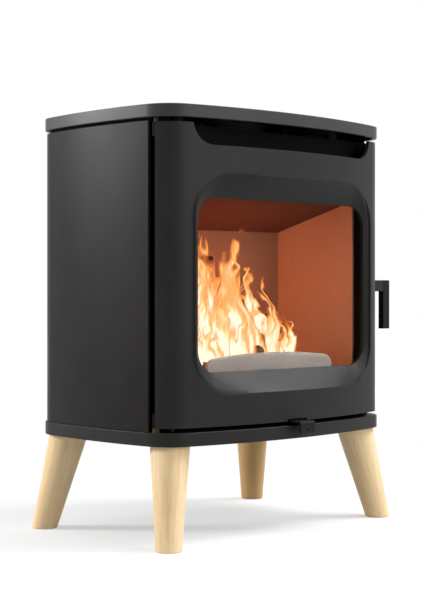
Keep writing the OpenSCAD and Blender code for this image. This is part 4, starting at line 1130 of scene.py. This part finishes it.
grip_line = box_line(GRIP_Y, GRIP_Z)
seat_line = ring_round((SPINDLE_Y, SPINDLE_Z), SCREW_SEAT, grip_line)
arm_line = box_line(GRIP_Y, ARM_Z)
grip = piece("square_grip", [skin([
    at_x(grip_line, GRIP_X[0] + HAIR), at_x(grip_line, GRIP_X[1]), at_x(seat_line, GRIP_X[1]),
    at_x(seat_line, GRIP_X[1] - SEAT_DEPTH)])], handle_black, "handle", "handle_grip")
soften(grip, width=0.0007)
arm = piece("handle_arm_bar", [skin([at_x(arm_line, ARM_X[0]), at_x(arm_line, ARM_X[1] - HAIR)])],
            arm_black, "handle", "handle_arm")
soften(arm, width=0.0007)
dress(["handle_spindle", "latch_hook"], zinc)

# Air slide
# One strip of black steel: a valve plate with four slots lies on its seat inside, and the front end
# bends down to a tab with a small hole, pushed in or pulled out to set the air.

dress(["air_slide"], handle_black)

# Flames
# Tongues of burning gas over the logs. Each is a thin curved sheet that glows: white and yellow low
# in its middle, orange towards its edges and tip, and torn into wisps. A lamp stands for their light.

SEED_APART = 3.7
SWIRL_ACROSS = 2.4
SWIRL_UP = 3.0
SWIRL_SIDEWAYS = 0.95
SWIRL_LIFT = 0.28
CREST_ACROSS = 4.2
CREST_SEED = 40.0
CREST_DEPTH = 1.7
CREST_MEAN = 0.74
CREST_LEAST = 0.25
FADE_POWER = 1.7
LICK_ACROSS = 9.0
LICK_UP = 3.4
LICK_DEPTH = 1.7
FOOT_HEAT = 1.36
HEIGHT_LOSS = -1.06
EDGE_LOSS = -0.85
EDGE_POWER = 4.0
SHOWN_FROM = 0.18
SHOWN_FULLY = 0.62
MOST_SHOWN = 0.97

flame_paint, tree, surface = finish("flame_glow", {
    "Base Color": colour(0, 0, 0), "Roughness": 1.0, "Specular IOR Level": 0.0, "Emission Strength": 1.25})
tongue_map = put(tree, "UVMap", uv_map="tongue").outputs[0]
tongue = put(tree, "SeparateXYZ", {"Vector": tongue_map}).outputs


def step(kind, first, second=0.0, third=0.0):
    """One step of arithmetic in the flame's material."""
    return reckon(tree, kind, first, second, third)


def noise_at(x, y, z, detail):
    """Noise at three values, as noise() gives it."""
    place = put(tree, "CombineXYZ", {"X": x, "Y": y, "Z": z}).outputs[0]
    return noise(tree, place, scale=1.0, detail=detail, rough=0.6)


def off_middle(value, scale, to):
    """How far a noise is from its middle, times a scale, added to another value."""
    return step("MULTIPLY_ADD", step("SUBTRACT", value, 0.5), scale, to)


# A swirl first bends each sheet's own map. Heat then falls from the foot to an uneven crest and
# towards both edges, licks of noise tear it, and it gives both the colour and what shows at all.
seed = step("MULTIPLY", step("FLOOR", tongue["X"]), SEED_APART)
across_u = step("FRACT", tongue["X"])
height_v = tongue["Y"]
swirl = noise_at(
    step("MULTIPLY", across_u, SWIRL_ACROSS), step("MULTIPLY", height_v, SWIRL_UP), seed, detail=2.0)
swirl_parts = put(tree, "SeparateXYZ", {"Vector": swirl["Color"]}).outputs
bent_u = off_middle(swirl_parts["X"], step("MULTIPLY", height_v, SWIRL_SIDEWAYS), across_u)
bent_v = off_middle(swirl_parts["Y"], SWIRL_LIFT, height_v)
crest = noise_at(
    step("MULTIPLY", bent_u, CREST_ACROSS), 0.0, step("ADD", seed, CREST_SEED), detail=2.0)["Fac"]
reach_up = step("MAXIMUM", off_middle(crest, CREST_DEPTH, CREST_MEAN), CREST_LEAST)
fallen = step("POWER", step("MAXIMUM", step("DIVIDE", bent_v, reach_up)), FADE_POWER)
licks = noise_at(
    step("MULTIPLY", bent_u, LICK_ACROSS), step("MULTIPLY", bent_v, LICK_UP), seed, detail=3.0)["Fac"]
edge = step("POWER", step("ABSOLUTE", step("MULTIPLY_ADD", bent_u, 2.0, -1.0)), EDGE_POWER)
torn = off_middle(licks, LICK_DEPTH, step("MULTIPLY_ADD", fallen, HEIGHT_LOSS, FOOT_HEAT))
heat = step("MULTIPLY_ADD", edge, EDGE_LOSS, torn)

# The colours of the fire from its coolest to its hottest, each at its heat.
COOLEST = (0.14, colour(0.46, 0.060, 0.010))
WARMER = (
    (0.32, colour(0.78, 0.19, 0.040)), (0.50, colour(0.98, 0.36, 0.090)), (0.72, colour(1.0, 0.62, 0.26)))
HOTTEST = (0.95, colour(1.0, 0.95, 0.74))
fire = put(tree, "ValToRGB", {"Fac": heat})
stops = fire.color_ramp.elements
stops[0].position, stops[0].color = COOLEST
stops[1].position, stops[1].color = HOTTEST
for warmth, tint in WARMER:
    stops.new(warmth).color = tint
shown = carried(tree, heat, SHOWN_FROM, SHOWN_FULLY, at_end=MOST_SHOWN, curve="SMOOTHSTEP")
tree.links.new(shown, surface.inputs["Alpha"])
tree.links.new(fire.outputs[0], surface.inputs["Emission Color"])

TONGUE_ROWS = 30
TONGUE_COLUMNS = 9
NARROWING = 0.25
SWAYS = 1.2
SWAY_START = 90
CURL = -0.22
# Each sheet: foot (x, y, z), height, width, drift of its top in x and y, bend, and facing.
TONGUES = (
    ((-0.068, -0.044, 0.266), 0.268, 0.160, 0.000, 0.000, 0.010, -0.77),
    ((-0.056, -0.024, 0.266), 0.245, 0.140, 0.002, 0.006, 0.010, -0.70),
    ((-0.070, -0.058, 0.264), 0.235, 0.120, 0.004, 0.004, 0.008, -0.80),
    ((-0.004, -0.046, 0.266), 0.160, 0.110, 0.006, 0.002, 0.008, -0.84),
    ((0.012, -0.026, 0.266), 0.145, 0.110, 0.006, 0.004, 0.010, -0.60),
    ((0.050, -0.036, 0.268), 0.185, 0.095, 0.002, 0.000, 0.014, -0.78),
    ((0.060, -0.024, 0.268), 0.150, 0.085, 0.002, 0.004, 0.010, -0.66),
    ((0.114, -0.040, 0.270), 0.108, 0.060, 0.006, 0.000, 0.008, -0.80),
    ((0.096, -0.026, 0.270), 0.085, 0.070, 0.006, 0.000, 0.008, -0.60),
    ((-0.050, -0.036, 0.266), 0.230, 0.140, 0.000, 0.000, 0.008, -0.80),
    ((0.030, -0.030, 0.266), 0.130, 0.130, 0.000, 0.000, 0.008, 0.35),
    ((-0.083, -0.072, 0.264), 0.190, 0.120, 0.004, 0.000, 0.004, -0.62),
    ((-0.080, -0.038, 0.266), 0.250, 0.110, 0.000, 0.000, 0.008, -1.05),
    ((-0.128, -0.094, 0.2632), 0.120, 0.070, 0.000, 0.000, 0.003, -0.40),
)


def tongue_surface(foot, tall, wide, drift_x, drift_y, bend, facing):
    """A sheet about a leaning line: the middle sways by a sine that grows with height, the half width
    loses a quarter by the square of the height, and the edges curl back by the square of the way out."""
    up = np.linspace(0, 1, TONGUE_ROWS)[:, None]
    side = np.linspace(-1, 1, TONGUE_COLUMNS)[None, :]
    sway = bend * np.sin(2 * np.pi * up * SWAYS + foot[0] * SWAY_START) * up
    half = wide / 2 * (1 - NARROWING * up ** 2)
    cos_face, sin_face = np.cos(facing), np.sin(facing)
    reach = side * half + sway
    curl = CURL * half * side ** 2
    x = foot[0] + drift_x * up + reach * cos_face - curl * sin_face
    y = foot[1] + drift_y * up + reach * sin_face + curl * cos_face
    return np.stack(np.broadcast_arrays(x, y, foot[2] + tall * up), axis=-1)


# All the sheets are one object, with a map that holds each sheet's number in the whole part of u, the
# way across in the rest of u, kept a little off the whole numbers, and the height in v.
KEPT_OFF = 0.002
at = np.arange(TONGUE_ROWS * TONGUE_COLUMNS).reshape(TONGUE_ROWS, TONGUE_COLUMNS)
quads = np.stack([at[:-1, :-1], at[:-1, 1:], at[1:, 1:], at[1:, :-1]], axis=-1).reshape(-1, 4)
points = np.concatenate([tongue_surface(*row).reshape(-1, 3) for row in TONGUES])
faces = np.concatenate([quads + number * at.size for number in range(len(TONGUES))])
u, v = np.meshgrid(np.linspace(KEPT_OFF, 1 - KEPT_OFF, TONGUE_COLUMNS), np.linspace(0, 1, TONGUE_ROWS))
all_u = np.concatenate([u.ravel() + number for number in range(len(TONGUES))])
all_v = np.tile(v.ravel(), len(TONGUES))
flame_mesh = bpy.data.meshes.new("flames")
flame_mesh.from_pydata(points.tolist(), [], faces.tolist())
flame_mesh.polygons.foreach_set("use_smooth", np.ones(len(faces), bool))
flame_mesh.uv_layers.new(name="tongue").data.foreach_set(
    "uv", np.stack([all_u, all_v], axis=1)[faces.ravel()].ravel())
flame_mesh.materials.append(flame_paint)
flames = bpy.data.objects.new("flames", flame_mesh)
bpy.context.scene.collection.objects.link(flames)
flames.visible_shadow = False
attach(flames, "stove")

glow_lamp = bpy.data.lights.new("fire_glow", "POINT")
glow_lamp.energy = 2.05
glow_lamp.color = (1.0, 0.24, 0.065)
glow_lamp.shadow_soft_size = 0.04
glow_place = bpy.data.objects.new("fire_glow", glow_lamp)
glow_place.location = (-0.040, -0.050, 0.335)
glow_place.visible_camera = False
glow_place.visible_transmission = False
glow_place.visible_glossy = False
bpy.context.scene.collection.objects.link(glow_place)

# Studio
# A floor that fades to plain white away from the stove, before a white world. Four soft lamps: a
# large one overhead, a small strong one at the left rear, one high at the right, a wide one in front.

scene = bpy.context.scene
FLOOR_HALF = 14.0
floor_mesh = bpy.data.meshes.new("floor")
floor_mesh.from_pydata([(-FLOOR_HALF, -FLOOR_HALF, 0), (FLOOR_HALF, -FLOOR_HALF, 0),
                        (FLOOR_HALF, FLOOR_HALF, 0), (-FLOOR_HALF, FLOOR_HALF, 0)], [], [(0, 1, 2, 3)])
floor = bpy.data.objects.new("floor", floor_mesh)
scene.collection.objects.link(floor)


def seen_directly(tree):
    """1 for rays from the camera that met glass or a reflection at most, and 0 once they have met a
    matt surface, so that the white background is seen but lights nothing."""
    rays = put(tree, "LightPath").outputs
    straight = reckon(tree, "ADD", rays["Is Camera Ray"], rays["Is Glossy Ray"])
    through = reckon(tree, "ADD", straight, rays["Is Transmission Ray"], clamped=True)
    first = reckon(tree, "SUBTRACT", 1.0, rays["Diffuse Depth"], clamped=True)
    return reckon(tree, "MULTIPLY", through, first)


FADE_FROM = 0.30
FADE_TO = 1.2
WHITE_NEAR = 0.45
FLOOR_TONE = 0.52
FLOOR_TONE_SEEN = 0.40
floor_white, tree, surface = finish("floor_white", {"Roughness": 0.9, "Specular IOR Level": 0.1})
distance = put(tree, "VectorMath", {0: own_place(tree)}, operation="LENGTH").outputs["Value"]
fade = carried(tree, distance, FADE_FROM, FADE_TO, at_start=WHITE_NEAR, curve="SMOOTHSTEP")
seen = seen_directly(tree)
share = reckon(tree, "MULTIPLY", fade, seen)
floor_tone = reckon(tree, "MULTIPLY_ADD", seen, FLOOR_TONE_SEEN, FLOOR_TONE)
tree.links.new(floor_tone, surface.inputs["Base Color"])
white = put(tree, "Emission", {"Color": colour(1, 1, 1), "Strength": 1.0})
blend = put(tree, "MixShader", {0: share, 1: surface.outputs[0], 2: white.outputs[0]})
output = next(node for node in tree.nodes if node.type == "OUTPUT_MATERIAL")
tree.links.new(blend.outputs[0], output.inputs["Surface"])
floor_mesh.materials.append(floor_white)

WORLD_LIGHT = 0.31
WORLD_SEEN = 1.0
world = bpy.data.worlds.new("studio")
scene.world = world
world.use_nodes = True
tree = world.node_tree
tree.nodes.clear()
around = put(tree, "Background", {"Color": colour(1, 1, 1), "Strength": WORLD_LIGHT})
behind = put(tree, "Background", {"Color": colour(1, 1, 1), "Strength": WORLD_SEEN})
blend = put(tree, "MixShader", {0: seen_directly(tree), 1: around.outputs[0], 2: behind.outputs[0]})
output = put(tree, "OutputWorld")
tree.links.new(blend.outputs[0], output.inputs["Surface"])


def lamp(name, place, aim, size, power):
    """A square soft lamp at a place, facing the point aimed at."""
    light = bpy.data.lights.new(name, "AREA")
    light.size = size
    light.energy = power
    holder = bpy.data.objects.new(name, light)
    holder.location = place
    way = np.asarray(aim, float) - np.asarray(place, float)
    flat = np.hypot(way[0], way[1])
    holder.rotation_euler = (np.arctan2(flat, -way[2]), 0.0, np.arctan2(-way[0], way[1]))
    scene.collection.objects.link(holder)


lamp("overhead", (0.0, -0.3, 3.4), (0.0, 0.0, 0.0), size=4.5, power=54.0)
lamp("left_side", (-2.62, 2.60, 1.60), (-0.28, 0.0, 0.6), size=1.0, power=128.0)
lamp("right_above", (1.9, -1.4, 2.8), (0.0, -0.1, 0.3), size=1.6, power=100.0)
lamp("front", (0.9, -3.9, 1.9), (0.0, 0.0, 0.4), size=3.2, power=70.0)

lens = bpy.data.cameras.new("camera")
lens.lens = 86.74
lens.shift_x = -0.00345
lens.shift_y = -0.01797
camera = bpy.data.objects.new("camera", lens)
camera.location = (-1.79197, -1.84068, 0.41423)
camera.rotation_euler = (np.radians(90.0), 0.0, np.radians(-44.02))
scene.collection.objects.link(camera)
scene.camera = camera
scene.view_settings.view_transform = "Standard"
